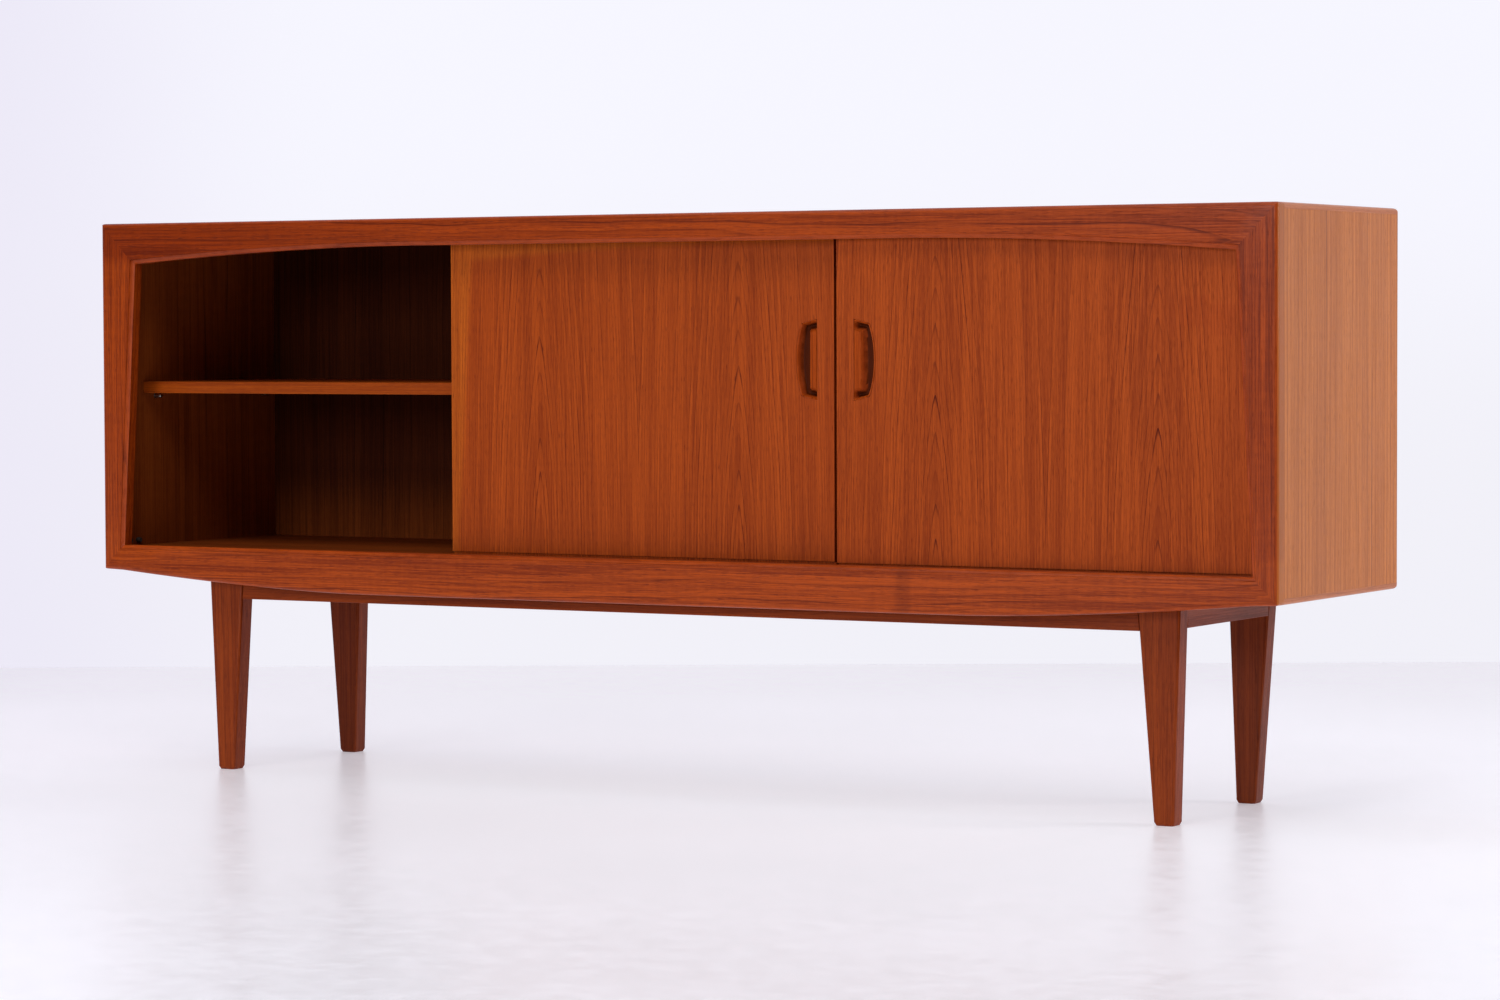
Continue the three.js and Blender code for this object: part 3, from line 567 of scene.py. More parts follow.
def pale_strip(tree, colour):
    """Lays the unreddened colour where the shut door hides behind the frame."""
    across, _, up = object_place(tree)
    shut_x = maths(tree, "ADD", across, SHUT)
    reach = maths(tree, "SUBTRACT", maths(tree, "ABSOLUTE", shut_x), ARCH_START)
    reach = maths(tree, "DIVIDE", reach, HALF - STILE_TOP_W - ARCH_START, clamp=True)
    drop = maths(tree, "MULTIPLY", maths(tree, "POWER", reach, ARCH_POWER), STILE_TOP_W - RAIL_MIDDLE)
    edge_z = maths(tree, "SUBTRACT", TOP - RAIL_MIDDLE, drop)
    above = rescale(tree, maths(tree, "SUBTRACT", up, edge_z), -0.007, 0.005)
    rise = maths(tree, "DIVIDE", maths(tree, "SUBTRACT", up, UNDERSIDE + CORNER_LOW),
                 TOP - UNDERSIDE - CORNER_LOW - STILE_TOP_W, clamp=True)
    width = maths(tree, "MULTIPLY_ADD", rise, STILE_TOP_W - CORNER_LOW, CORNER_LOW)
    inside = maths(tree, "ADD", shut_x, maths(tree, "SUBTRACT", HALF, width))
    beside = rescale(tree, inside, -0.005, 0.008, 1.0, 0.0)
    mask = maths(tree, "MAXIMUM", above, beside)
    facing = split(tree, add_node(tree, "ShaderNodeNewGeometry").outputs["Normal"])[1]
    mask = maths(tree, "MULTIPLY", mask, rescale(tree, facing, -0.6, -0.2, 1.0, 0.0))
    return mix(tree, maths(tree, "MULTIPLY", mask, 0.85), colour, tinted(tree, colour, (1.2, 1.55, 1.35)))


def squares_stain(tree, colour):
    """Two faint squarish stains near the upper right corner, such as something damp leaves."""
    across, _, up = object_place(tree)
    for inward, down in STAINS:
        beside = near(tree, across, right_door_high.x - inward, 16 * MM, 6 * MM)
        level = near(tree, up, right_door_high.z - down, 17 * MM, 6 * MM)
        mask = maths(tree, "MULTIPLY", beside, level)
        stained = tinted(tree, colour, (0.86, 0.70, 0.62))
        colour = mix(tree, maths(tree, "MULTIPLY", mask, 0.3), colour, stained)
    return colour


DOOR_CUT = cut(0.0043, 0.09, 0.004, 0.002, 1.1, 0.85, 0.6, 0.05, 0.42)
DOOR_COLOURS = ((0.50, 0.082, 0.0075), (0.30, 0.041, 0.0035), (0.105, 0.009, 0.001))
LEAF_HALF = 0.159
# Each stain's middle: how far inward and how far down from the door's upper right corner.
STAINS = ((96 * MM, 108.5 * MM), (58 * MM, 120.5 * MM))
right_door_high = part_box("right_door")[1]
left_door_teak = teak_finish(
    "left_door_veneer", *DOOR_COLOURS, DOOR_CUT, gloss=0.1, fold=LEAF_HALF, change=pale_strip,
)
right_door_teak = teak_finish(
    "right_door_veneer", *DOOR_COLOURS, DOOR_CUT, gloss=0.1, fold=LEAF_HALF, change=squares_stain,
)
print("the shut left door travels", SHUT, "m")

# %% [markdown]
# ## Metal, rubber and nylon
# The small fittings are plain: turned steel pins and screws, dark rubber stops and milky nylon
# glides. Turning leaves rings round the steel, so its roughness has fine bands.

# %% Fitting materials


def plain_finish(name, colour, roughness, metallic, grain, band):
    """A plain fitting: fine noise in its colour, roughness and relief."""
    material, tree, shader = new_material(name)
    speck = noise(tree, object_vector(tree), grain, detail=3.0)
    darker = tuple(0.8 * part for part in colour)
    tint = mix(tree, rescale(tree, speck, 0.3, 0.7), (*darker, 1.0), (*colour, 1.0))
    feed(tree, shader.inputs["Base Color"], tint)
    rough = maths(tree, "MULTIPLY_ADD", maths(tree, "SUBTRACT", speck, 0.5), band, roughness)
    feed(tree, shader.inputs["Roughness"], rough)
    shader.inputs["Metallic"].default_value = metallic
    give_relief(tree, shader, speck, 0.15, 0.2 * MM)
    return material


steel = plain_finish("turned_steel", (0.46, 0.44, 0.41), 0.32, 1.0, (2600.0, 500.0, 500.0), 0.3)
rubber = plain_finish("stop_rubber", (0.045, 0.03, 0.025), 0.75, 0.0, (900.0, 900.0, 900.0), 0.2)
nylon = plain_finish("glide_nylon", (0.72, 0.69, 0.6), 0.45, 0.0, (300.0, 300.0, 300.0), 0.15)
print("fitting finishes:", steel.name, rubber.name, nylon.name)

# %% [markdown]
# ## Refining a board
# A machined board has no knife edges: each arris is eased by a fraction of a millimetre, and that
# thin line of light is what makes a board look real. A copy of the measured part is merged, its
# flat triangles are joined, and its corners are bevelled. The shading then follows the large
# faces, the narrow new faces are marked as arrises for the wear and its painted highlight, and
# every point gets its wood directions. The cabinet's outer corners were rounded further with a
# spokeshave, so the boards that meet there share the same small radius.

# %% Board helpers
AXES = {"X": 0, "Y": 1, "Z": 2}
CORNER_CUTS = 5
luck = random.Random(7)


def merged_copy(node, flatten=True):
    """A copy of a measured part's mesh with shared points, and flat faces joined."""
    work = bmesh.new()
    work.from_mesh(frame["nodes"][node].data)
    bmesh.ops.remove_doubles(work, verts=work.verts, dist=1e-5)
    if flatten:
        bmesh.ops.dissolve_limit(work, angle_limit=math.radians(0.8), verts=work.verts, edges=work.edges)
    mesh = bpy.data.meshes.new(node + "_wood")
    work.to_mesh(mesh)
    work.free()
    mesh.materials.clear()
    return mesh


def give_wood(mesh, along, through, shift=None):
    """Stores the wood directions: across the face, through the board, along the grain. Each piece
    comes from its own part of the trunk, drawn by luck unless the shift is given."""
    along, through = AXES[along], AXES[through]
    across = 3 - along - through
    low = [min(v.co[i] for v in mesh.vertices) for i in range(3)]
    high = [max(v.co[i] for v in mesh.vertices) for i in range(3)]
    centre = (low[across] + high[across]) / 2
    if shift is None:
        shift = (luck.uniform(-0.04, 0.04), luck.uniform(0.0, 0.02), luck.uniform(-3.0, 3.0))
    wood = mesh.attributes.new("wood", "FLOAT_VECTOR", "POINT")
    for index, vertex in enumerate(mesh.vertices):
        wood.data[index].vector = (
            vertex.co[across] - centre + shift[0],
            vertex.co[through] - low[through] + shift[1],
            vertex.co[along] + shift[2],
        )


def mark_faces(mesh, flat=0.985):
    """Marks the points that lie on slanted faces only, which are the middles of eased edges, and
    the faces at the cabinet's two ends, which the sun reached."""
    slanted = [1.0] * len(mesh.vertices)
    sunned = []
    for face in mesh.polygons:
        if max(abs(value) for value in face.normal) > flat:
            for index in face.vertices:
                slanted[index] = 0.0
        sunned.append(float(abs(face.normal.x) > 0.6 and abs(face.center.x) > HALF - 2 * MM))
    mesh.attributes.new("arris", "FLOAT", "POINT").data.foreach_set("value", slanted)
    mesh.attributes.new("sunned", "FLOAT", "FACE").data.foreach_set("value", sunned)


def flattened(mesh, sharp=35.0, width=0.0):
    """The mesh with its sharp edges rounded by that width, and with shading that follows its
    large faces, so that flat faces look flat and the rounded edges carry the turn."""
    for face in mesh.polygons:
        face.use_smooth = True
    holder = bpy.data.objects.new("holder", mesh)
    scene.collection.objects.link(holder)
    if width:
        bevel = holder.modifiers.new("ease", "BEVEL")
        bevel.width = width
        bevel.segments = 3
        bevel.limit_method = "ANGLE"
        bevel.angle_limit = math.radians(30)
    else:
        mesh.set_sharp_from_angle(angle=math.radians(sharp))
    weigh = holder.modifiers.new("weigh", "WEIGHTED_NORMAL")
    weigh.mode = "FACE_AREA_WITH_ANGLE"
    weigh.weight = 90
    weigh.keep_sharp = True
    graph = bpy.context.evaluated_depsgraph_get()
    done = bpy.data.meshes.new_from_object(holder.evaluated_get(graph))
    bpy.data.objects.remove(holder)
    return done


def round_corner(mesh, axes, corner, radius):
    """Rounds the mesh's corner as seen along the third axis. corner is the corner's place on the
    two axes, and the mesh is first cut so that there are points to move."""
    first, second = (AXES[axis] for axis in axes)
    inward = [-1.0 if value > middle else 1.0 for value, middle in zip(corner, corner_middles(axes))]
    centre = [value + way * radius for value, way in zip(corner, inward)]
    work = bmesh.new()
    work.from_mesh(mesh)
    for axis, value, way in ((first, corner[0], inward[0]), (second, corner[1], inward[1])):
        for step in range(1, CORNER_CUTS + 1):
            angle = math.pi / 2 * step / CORNER_CUTS
            cut_at = Vector((0, 0, 0))
            cut_at[axis] = value + way * radius * (1 - math.cos(angle))
            normal = Vector((0, 0, 0))
            normal[axis] = 1.0
            everything = work.verts[:] + work.edges[:] + work.faces[:]
            bmesh.ops.bisect_plane(work, geom=everything, plane_co=cut_at, plane_no=normal, dist=1e-6)
    for vertex in work.verts:
        offset = [(vertex.co[axis] - middle) * -way
                  for axis, middle, way in zip((first, second), centre, inward)]
        reach = math.hypot(*offset)
        if min(offset) > 0.0 and reach > radius:
            for axis, middle, way, part in zip((first, second), centre, inward, offset):
                vertex.co[axis] = middle - way * part * radius / reach
    work.to_mesh(mesh)
    work.free()


def corner_middles(axes):
    """The middle of the cabinet's box on two axes, which tells which way is inward."""
    low, high = cad_box
    return [(low[AXES[axis]] + high[AXES[axis]]) / 2 for axis in axes]


def link(name, mesh, material, body, *nodes, slot):
    """Makes the piece, gives it its finish and its body, and hides the CAD nodes it stands in for."""
    piece = bpy.data.objects.new(name, mesh)
    scene.collection.objects.link(piece)
    mesh.materials.append(material)
    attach(piece, body)
    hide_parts(*nodes)
    return piece


def looks_inward(face):
    """True for the faces of the outer boards that look into the cabinet."""
    beside = abs(face.normal.x) > 0.6 and abs(face.center.x) < HALF - 2 * MM
    below = face.normal.z < -0.6 and face.center.z > TOP - 30 * MM
    return beside or below


def looks_back(face):
    """True for faces that look to the rear."""
    return face.normal.y > 0.6


def second_finish(piece, material, test):
    """Gives another finish to the faces that pass the test."""
    piece.data.materials.append(material)
    for face in piece.data.polygons:
        face.material_index = int(test(face))


def board(node, material, slot, along, through, ease=0.8 * MM, rounds=()):
    """One board: merged, rounded at its named corners, eased, marked and grained."""
    mesh = merged_copy(node)
    for axes, corner, radius in rounds:
        round_corner(mesh, axes, corner, radius)
    mesh = flattened(mesh, width=ease)
    mesh.name = node + "_wood"
    mark_faces(mesh)
    give_wood(mesh, along, through)
    return link(node + "_board", mesh, material, CABINET, node, slot=slot)


# %% [markdown]
# ## The carcass
# Top, ends, floor, back and dividers are veneered boards, and the ends have a thin solid lipping
# at their upper and lower edges. The grain of the ends, back and dividers is upright, and that of
# the top and floor runs along the cabinet.

# %% Carcass boards
REAR = cad_box[1][1]
REAR_ROUND = 7 * MM
FRONT_ROUND = 4.5 * MM
rear_top = ("YZ", (REAR, TOP), REAR_ROUND)
rear_foot = ("YZ", (REAR, UNDERSIDE), REAR_ROUND)
top = board("top_panel", side_teak, "teak_veneer", "X", "Z", ease=0.5 * MM, rounds=[rear_top])
second_finish(top, inside_teak, looks_inward)
for side in ("left", "right"):
    end = board(f"{side}_side_panel", side_teak, "teak_veneer", "Z", "X", ease=0.25 * MM)
    second_finish(end, inside_teak, looks_inward)
    board(f"{side}_divider", inside_teak, "teak_inside", "Z", "X")
    edge = HALF if side == "right" else -HALF
    over = ("XZ", (edge, TOP), FRONT_ROUND)
    under = ("XZ", (edge, UNDERSIDE), FRONT_ROUND)
    for level, rounds in (("upper", [rear_top, over]), ("lower", [rear_foot, under])):
        board(f"{side}_{level}_lipping", lipping_teak, "teak_frame", "Y", "X", ease=0.3 * MM, rounds=rounds)
board("bottom_panel", inside_teak, "teak_inside", "X", "Z")
back = board("back_panel", back_painted_shade_teak, "teak_inside", "Z", "Y", ease=0.4 * MM)
second_finish(back, inside_teak, looks_back)
for track in ("upper_track", "lower_track"):
    board(track, inside_teak, "teak_inside", "X", "Z", ease=0.4 * MM)
for bay in ("left", "centre", "right"):
    board(f"{bay}_shelf", shelf_teak, "teak_inside", "X", "Z", ease=1.0 * MM)
print("carcass boards eased")

# %% [markdown]
# ## The front frame
# Four solid members meet in mitres. Each has a rounded outer arris and a small stepped hollow
# round the opening. Those mouldings are already true in the measured parts, so they are smoothed
# across their small facets and keep their sharp steps.

# %% Frame members


def frame_member(node, along):
    """A moulded member: smooth along its curves, sharp at its steps, rounded at its corners."""
    mesh = merged_copy(node, flatten=False)
    for edge in (-HALF, HALF):
        for level in (UNDERSIDE, TOP):
            round_corner(mesh, "XZ", (edge, level), FRONT_ROUND)
    mesh = flattened(mesh, sharp=26.0)
    mark_faces(mesh)
    give_wood(mesh, along, "Y")
    link(node + "_member", mesh, frame_teak, CABINET, node, slot="teak_frame")


for rail in ("top", "bottom"):
    frame_member(f"frame_{rail}_rail", "X")
for side in ("left", "right"):
    frame_member(f"frame_{side}_stile", "Z")
print("front frame made")

# %% [markdown]
# ## The doors and their pulls
# Each door is one panel faced with two matched leaves of veneer, mirrored about the middle, so
# both leaves show the same arches. The pull is a D-shaped piece of solid teak, let into the door
# and cupped for the fingertips behind its curved side.

# %% Doors


def door(side, material, body, deeper):
    """A veneered door panel. Its wood directions are centred, so that the fold falls mid-door, and
    start at the foot of the door. deeper tells how much further from the heart it was cut."""
    node = f"{side}_door"
    mesh = flattened(merged_copy(node, flatten=False), width=0.6 * MM)
    mark_faces(mesh)
    give_wood(mesh, "Z", "Y", shift=(0.0, deeper, -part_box(node)[0].z))
    link(node + "_panel", mesh, material, body, node, slot="teak_door")


def pull(side, body):
    """A finger pull: smooth in its cup, sharp at its rim."""
    node = f"{side}_door_pull"
    mesh = flattened(merged_copy(node, flatten=False), sharp=50.0)
    mark_faces(mesh)
    give_wood(mesh, "Z", "Y", shift=(0.0, 0.0, 0.0))
    link(node + "_inlay", mesh, pull_teak, body, node, slot="teak_door")


door("left", left_door_teak, LEFT_DOOR, 0.0)
door("right", right_door_teak, RIGHT_DOOR, 7.5 * MM)
pull("left", LEFT_DOOR)
pull("right", RIGHT_DOOR)
print("two doors made, each with its pull")

# %% [markdown]
# ## The leg frame
# Tapered legs are tenoned to four aprons, with a block glued in each corner. The legs keep their
# rounded arrises and the small chamfer that stops the feet from splintering.

# %% Legs and aprons
for side in ("left", "right"):
    for end in ("front", "rear"):
        node = f"{side}_{end}_leg"
        leg_mesh = flattened(merged_copy(node, flatten=False), sharp=34.0)
        mark_faces(leg_mesh, flat=0.97)
        give_wood(leg_mesh, "Z", "Y")
        link(node + "_tapered", leg_mesh, leg_teak, CABINET, node, slot="teak_legs")
        board(f"{side}_{end}_corner_block", leg_teak, "teak_legs", "Z", "Y")
    board(f"{side}_apron", leg_teak, "teak_legs", "Y", "X")
for end in ("front", "rear"):
    board(f"{end}_apron", leg_teak, "teak_legs", "X", "Y")
print("leg frame made")

# %% [markdown]
# ## Fittings
# Twelve shelf pins, four screws, four stops and four glides are all repeats, so each kind is
# turned once on a lathe, or cut once from a bar, and then set on its places by a geometry tree.
# The places come from the measured parts. The tree makes the copies real and gives them their
# finish, and the result is kept as one plain mesh for each kind and body.

# %% The tree that sets repeated fittings


def build_setting_tree():
    """Sets one piece on every point, turned by the point's own turn, and gives it its finish."""
    tree = bpy.data.node_groups.new("set_fittings", "GeometryNodeTree")
    tree.is_modifier = True
    for label, kind in (("Places", "NodeSocketGeometry"), ("Piece", "NodeSocketObject"),
                        ("Finish", "NodeSocketMaterial"), ("Turn Scale", "NodeSocketFloat")):
        tree.interface.new_socket(label, in_out="INPUT", socket_type=kind)
    tree.interface.new_socket("Fittings", in_out="OUTPUT", socket_type="NodeSocketGeometry")
    start = add_node(tree, "NodeGroupInput")
    end = add_node(tree, "NodeGroupOutput")
    piece = add_node(tree, "GeometryNodeObjectInfo", transform_space="ORIGINAL")
    feed(tree, piece.inputs["Object"], start.outputs["Piece"])
    turn = add_node(tree, "GeometryNodeInputNamedAttribute", data_type="FLOAT")
    turn.inputs["Name"].default_value = "turn"
    angle = maths(tree, "MULTIPLY", turn.outputs["Attribute"], start.outputs["Turn Scale"])
    axes = add_node(tree, "ShaderNodeCombineXYZ")
    feed(tree, axes.inputs[2], angle)
    spots = add_node(tree, "GeometryNodeMeshToPoints")
    feed(tree, spots.inputs["Mesh"], start.outputs["Places"])
    copies = add_node(tree, "GeometryNodeInstanceOnPoints")
    feed(tree, copies.inputs["Points"], spots.outputs[0])
    feed(tree, copies.inputs["Instance"], piece.outputs["Geometry"])
    tree.links.new(axes.outputs[0], copies.inputs["Rotation"])
    real = add_node(tree, "GeometryNodeRealizeInstances")
    feed(tree, real.inputs[0], copies.outputs[0])
    finish = add_node(tree, "GeometryNodeSetMaterial")
    feed(tree, finish.inputs["Geometry"], real.outputs[0])
    feed(tree, finish.inputs["Material"], start.outputs["Finish"])
    feed(tree, end.inputs[0], finish.outputs[0])
    return tree


setting_tree = build_setting_tree()
print("setting tree nodes:", len(setting_tree.nodes))


def lathe(name, profile, axis, steps=32):
    """A turned piece. profile holds (distance along the axis, radius), from one tip to the other."""
    work = bmesh.new()
    along = AXES[axis]
    sides = [index for index in range(3) if index != along]
    rings = []
    for place, radius in profile:
        if radius == 0.0:
            point = Vector((0, 0, 0))
            point[along] = place
            rings.append([work.verts.new(point)] * steps)
            continue
        ring = []
        for step in range(steps):
            angle = 2 * math.pi * step / steps
            point = Vector((0, 0, 0))
            point[along] = place
            point[sides[0]] = radius * math.cos(angle)
            point[sides[1]] = radius * math.sin(angle)
            ring.append(work.verts.new(point))
        rings.append(ring)
    for lower, upper in zip(rings, rings[1:]):
        for step in range(steps):
            after = (step + 1) % steps
            corners = []
            for vertex in (lower[step], lower[after], upper[after], upper[step]):
                if vertex not in corners:
                    corners.append(vertex)
            work.faces.new(corners)
    bmesh.ops.recalc_face_normals(work, faces=work.faces)
    mesh = bpy.data.meshes.new(name)
    work.to_mesh(mesh)
    work.free()
    for face in mesh.polygons:
        face.use_smooth = True
    mesh.set_sharp_from_angle(angle=math.radians(40))
    piece = bpy.data.objects.new(name, mesh)
    scene.collection.objects.link(piece)
    return piece


def set_fittings(name, piece, places, material, body, slot):
    """Sets the piece on the places: a list of (node, point, turn). The nodes are hidden."""
    mesh = bpy.data.meshes.new(name + "_places")
    mesh.from_pydata([place[1] for place in places], [], [])
    turns = mesh.attributes.new("turn", "FLOAT", "POINT")
    turns.data.foreach_set("value", [place[2] for place in places])
    holder = bpy.data.objects.new(name + "_holder", mesh)
    scene.collection.objects.link(holder)
    modifier = holder.modifiers.new("set", "NODES")
    modifier.node_group = setting_tree
    sockets = {item.name: item.identifier for item in setting_tree.interface.items_tree
               if item.item_type == "SOCKET" and item.in_out == "INPUT"}
    modifier[sockets["Piece"]] = piece
    modifier[sockets["Finish"]] = material
    modifier[sockets["Turn Scale"]] = 1.0
    graph = bpy.context.evaluated_depsgraph_get()
    done = bpy.data.meshes.new_from_object(holder.evaluated_get(graph))
    done.name = name
    done.materials.clear()
    bpy.data.objects.remove(holder)
    print(name, "pieces:", len(places), "faces:", len(done.polygons))
    link(name, done, material, body, *[place[0] for place in places], slot=slot)


def middle_of(node):
    """The middle of a node's box."""
    low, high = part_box(node)
    return (Vector(low) + Vector(high)) / 2


# %% [markdown]
# ## The fittings themselves
# Each shelf rests on four turned steel pins with a collar. Rubber buttons stop the doors at the
# ends of their tracks. Long screws hold the cabinet to the blocks of its leg frame, and nylon
# glides under the doors run in the lower track.

# %% Shelf pins, screws, stops and glides
PIN_HALF = 9.5 * MM
PIN_R = 4 * MM
pin = lathe("shelf_pin", [
    (-PIN_HALF, 0.0), (-PIN_HALF, 3.2 * MM), (-2.5 * MM, 3.2 * MM), (-2.5 * MM, PIN_R),
    (-0.8 * MM, PIN_R), (-0.8 * MM, 3.7 * MM), (7.6 * MM, 3.7 * MM), (8.8 * MM, 3.1 * MM),
    (9.3 * MM, 2.0 * MM), (PIN_HALF, 0.0),
], "X")
pin_places = [(node, middle_of(node), math.pi if "_pin_right_" in node else 0.0)
              for node in sorted(frame["nodes"]) if "_shelf_pin_" in node]
set_fittings("shelf_pins", pin, pin_places, steel, CABINET, "steel")

stop = lathe("track_stop", [
    (-3.0 * MM, 0.0), (-3.0 * MM, 3.9 * MM), (-2.4 * MM, 4.0 * MM), (1.6 * MM, 4.0 * MM),
    (2.6 * MM, 3.5 * MM), (3.0 * MM, 2.4 * MM), (2.4 * MM, 1.6 * MM), (2.4 * MM, 0.0),
], "X")
stop_places = [(node, middle_of(node), math.pi if node.endswith("_right") else 0.0)
               for node in sorted(frame["nodes"]) if "_track_stop_" in node]
set_fittings("track_stops", stop, stop_places, rubber, CABINET, "dark_rubber")

screw_low, screw_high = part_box("left_front_base_screw")
SCREW_HALF = (screw_high.z - screw_low.z) / 2
THREAD_TURNS = 14
THREAD_PITCH = 2.2 * MM
thread = []
for turn_number in range(THREAD_TURNS):
    foot = -SCREW_HALF + 6 * MM + turn_number * THREAD_PITCH
    thread += [(foot, 1.6 * MM), (foot + 0.9 * MM, 2.0 * MM), (foot + 1.1 * MM, 2.0 * MM)]
screw = lathe("base_screw", [
    (-SCREW_HALF, 0.0), (-SCREW_HALF, 0.9 * MM), (-SCREW_HALF + 0.9 * MM, 0.9 * MM),
    (-SCREW_HALF + 0.1 * MM, 2.6 * MM), (-SCREW_HALF + 1.1 * MM, 4.1 * MM),
    (-SCREW_HALF + 2.5 * MM, 4.5 * MM), (-SCREW_HALF + 2.5 * MM, 2.0 * MM),
    *thread, (SCREW_HALF - 3 * MM, 1.6 * MM), (SCREW_HALF, 0.0),
], "Z")
screw_places = [(node, middle_of(node), 0.0)
                for node in sorted(frame["nodes"]) if node.endswith("_base_screw")]
set_fittings("base_screws", screw, screw_places, steel, CABINET, "steel")

glide_mesh = flattened(merged_copy("left_door_glide_left"), width=1.2 * MM)
glide_middle = middle_of("left_door_glide_left")
glide_mesh.transform(Matrix.Translation(-glide_middle))
glide = bpy.data.objects.new("door_glide", glide_mesh)
scene.collection.objects.link(glide)
for side, body in (("left", LEFT_DOOR), ("right", RIGHT_DOOR)):
    glide_places = [(node, middle_of(node), 0.0)
                    for node in (f"{side}_door_glide_left", f"{side}_door_glide_right")]
    set_fittings(f"{side}_door_glides", glide, glide_places, nylon, body, "nylon")
for pattern in (pin, stop, screw, glide):
    bpy.data.objects.remove(pattern)

# %% [markdown]
# ## Studio
# A white room, lit bright. The wall stands some two metres behind the cabinet, square to the
# camera, and it lights the cabinet's end at a shallow angle, which pales the end. It shows only
# from its front, so that the cabinet can also be seen from behind. The floor is painted concrete,
# slightly glossy and a little scuffed.

# %% Floor and wall
WALL_DISTANCE = 8.03
WALL_HALF = 11.0
WALL_HEIGHT = 7.0
WALL_GLOW = 0.985
FLOOR_HALF = 14.0
FLOOR_GLOW = 0.425


def glowing(tree, colour, strength, surface):
    """Adds an even glow to a surface shader, as a brightly lit white surface has."""
    glow = add_node(tree, "ShaderNodeEmission")
    feed(tree, glow.inputs["Color"], colour)
    feed(tree, glow.inputs["Strength"], strength)
    both = add_node(tree, "ShaderNodeAddShader")
    tree.links.new(surface.outputs[0], both.inputs[0])
    tree.links.new(glow.outputs[0], both.inputs[1])
    tree.links.new(both.outputs[0], tree.nodes["Material Output"].inputs["Surface"])
    return both


def front_only(tree, surface):
    """Lets light and sight through the back of a flat surface, so that the wall hides nothing."""
    clear = add_node(tree, "ShaderNodeBsdfTransparent")
    sided = add_node(tree, "ShaderNodeMixShader")
    feed(tree, sided.inputs[0], add_node(tree, "ShaderNodeNewGeometry").outputs["Backfacing"])
    tree.links.new(surface.outputs[0], sided.inputs[1])
    tree.links.new(clear.outputs[0], sided.inputs[2])
    tree.links.new(sided.outputs[0], tree.nodes["Material Output"].inputs["Surface"])


def staged_plane(name, corners, material):
    """One flat surface of the room."""
    mesh = bpy.data.meshes.new(name)
    mesh.from_pydata([Vector(corner) for corner in corners], [], [(0, 1, 2, 3)])
    mesh.materials.append(material)
    made = bpy.data.objects.new(name, mesh)
    scene.collection.objects.link(made)
    return made


def build_floor():
    """A wide pale floor with a soft gloss, faint clouds and a few dark scuffs."""
    material, tree, shader = new_material("studio_floor")
    place = object_vector(tree)
    turned = add_node(tree, "ShaderNodeMapping")
    feed(tree, turned.inputs["Vector"], place)
    turned.inputs["Rotation"].default_value = (0.0, 0.0, -CAMERA_TURN)
    view = split(tree, turned.outputs[0])
    cloud = noise(tree, place, (1.1, 1.1, 1.1), detail=5.0, roughness=0.6)
    fine = noise(tree, place, (26.0, 26.0, 26.0), detail=6.0, roughness=0.75)
    stain = maths(tree, "MULTIPLY_ADD", fine, 0.55, maths(tree, "MULTIPLY", cloud, 0.45))
    stain = rescale(tree, stain, 0.36, 0.62)
    tint = mix(tree, stain, (0.66, 0.65, 0.69, 1.0), (0.745, 0.735, 0.785, 1.0))
    far = rescale(tree, view[1], 0.0, 1.9)
    tint = mix(tree, far, tint, tinted(tree, tint, (0.90, 0.885, 0.885)))
    streak = noise(tree, turned.outputs[0], (2.0, 30.0, 1.0), detail=5.0, roughness=0.8)
    patch = noise(tree, place, (1.7, 1.7, 1.7), detail=1.0)
    scuff = maths(tree, "MULTIPLY", rescale(tree, streak, 0.60, 0.72), rescale(tree, patch, 0.46, 0.60))
    tint = mix(tree, maths(tree, "MULTIPLY", scuff, 0.12), tint, (0.45, 0.43, 0.44, 1.0))
    feed(tree, shader.inputs["Base Color"], tint)
    feed(tree, shader.inputs["Roughness"], rescale(tree, stain, 0.0, 1.0, 0.29, 0.35))
    shader.inputs["Specular IOR Level"].default_value = 0.27
    glowing(tree, tint, FLOOR_GLOW, shader)
    corners = [(x * FLOOR_HALF, y * FLOOR_HALF, 0) for x, y in ((-1, -1), (1, -1), (1, 1), (-1, 1))]
    return staged_plane("studio_floor", corners, material)


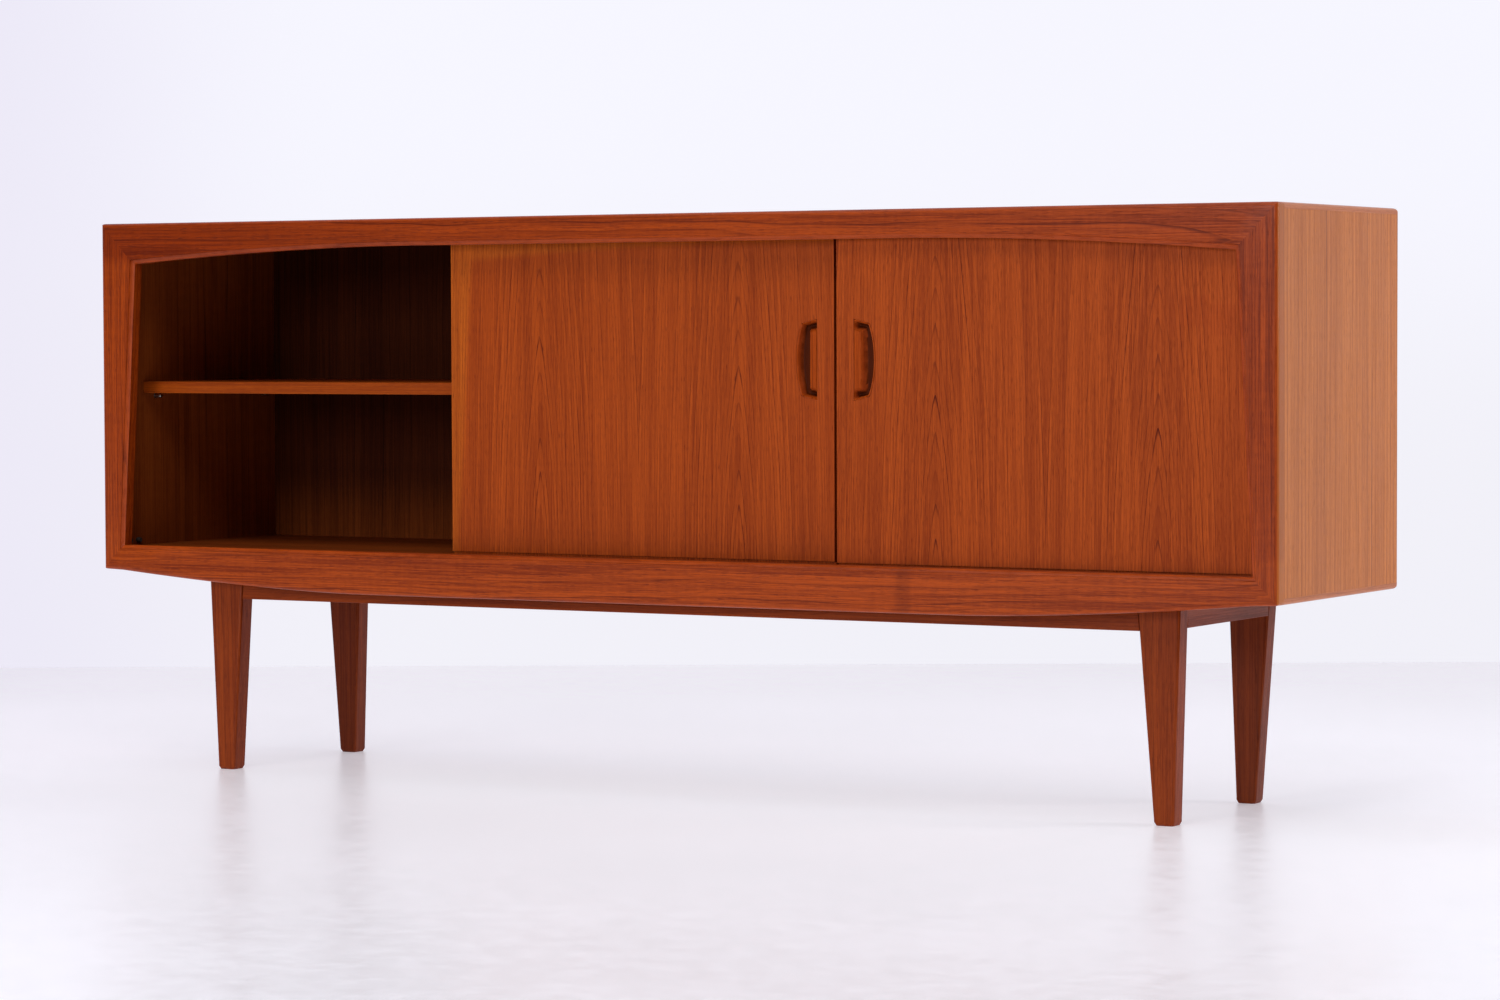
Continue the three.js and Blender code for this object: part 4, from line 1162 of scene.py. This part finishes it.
def build_wall():
    """The white wall, a little darker toward its left end."""
    material, tree, shader = new_material("studio_wall")
    place = object_vector(tree)
    x, y, up = split(tree, place)
    side = Vector((math.cos(CAMERA_TURN), math.sin(CAMERA_TURN), 0))
    ahead = Vector((-math.sin(CAMERA_TURN), math.cos(CAMERA_TURN), 0))
    foot = Vector((CAMERA_PLACE.x, CAMERA_PLACE.y, 0)) + ahead * WALL_DISTANCE
    here = maths(tree, "MULTIPLY", maths(tree, "SUBTRACT", x, foot.x), side.x)
    here = maths(tree, "MULTIPLY_ADD", maths(tree, "SUBTRACT", y, foot.y), side.y, here)
    left = rescale(tree, here, -1.6, -0.7, 1.0, 0.0)
    cloud = rescale(tree, noise(tree, place, (0.7, 0.7, 0.7), detail=3.0), 0.3, 0.7)
    high = rescale(tree, up, 0.35, 1.0)
    tint = mix(tree, high, (0.862, 0.855, 0.918, 1.0), (0.905, 0.905, 0.985, 1.0))
    tint = mix(tree, left, tint, (0.80, 0.77, 0.895, 1.0))
    tint = mix(tree, maths(tree, "MULTIPLY", cloud, 0.25), tint, (0.88, 0.87, 0.94, 1.0))
    feed(tree, shader.inputs["Base Color"], (0.05, 0.05, 0.05, 1.0))
    shader.inputs["Roughness"].default_value = 0.9
    shader.inputs["Specular IOR Level"].default_value = 0.0
    front_only(tree, glowing(tree, tint, WALL_GLOW, shader))
    corners = [foot - side * WALL_HALF, foot + side * WALL_HALF]
    corners += [corner + Vector((0, 0, WALL_HEIGHT)) for corner in reversed(corners)]
    return staged_plane("studio_wall", corners, material)


build_floor()
build_wall()
print("floor and wall stand")

# %% [markdown]
# ## Lamps
# Broad soft lamps hang high in front and overhead, so that the shelf and the rail shade the open
# bay. One stands in front at head height and lights the doors, and one beyond the right end.

# %% Lamps and room


def lamp(name, place, target, width, height, power):
    """A soft rectangular lamp aimed at a point."""
    data = bpy.data.lights.new(name, "AREA")
    data.shape = "RECTANGLE"
    data.size = width
    data.size_y = height
    data.energy = power
    made = bpy.data.objects.new(name, data)
    scene.collection.objects.link(made)
    made.location = place
    made.rotation_euler = (Vector(target) - Vector(place)).to_track_quat("-Z", "Y").to_euler()


lamp("front_softbox", (-0.8, -7.0, 1.8), (0.0, 0.0, 0.5), 2.4, 1.6, power=122.0)
lamp("overhead_softbox", (0.0, -1.2, 3.6), (0.0, -0.6, 0.0), 3.6, 3.0, power=45.0)
lamp("high_softbox", (1.2, -3.6, 4.2), (0.0, 0.0, 0.5), 2.6, 1.8, power=45.0)
lamp("side_softbox", (4.6, 1.6, 1.5), (0.9, 0.0, 0.5), 1.8, 1.8, power=80.0)


def build_room():
    """The room behind the camera: it lights dimly, but is seen pale."""
    world = bpy.data.worlds.new("dim_room")
    world.use_nodes = True
    scene.world = world
    tree = world.node_tree
    room = tree.nodes["Background"]
    room.inputs["Color"].default_value = (0.95, 0.95, 1.0, 1.0)
    seen = add_node(tree, "ShaderNodeLightPath").outputs["Is Camera Ray"]
    feed(tree, room.inputs["Strength"], maths(tree, "MULTIPLY_ADD", seen, 0.86, 0.04))


build_room()
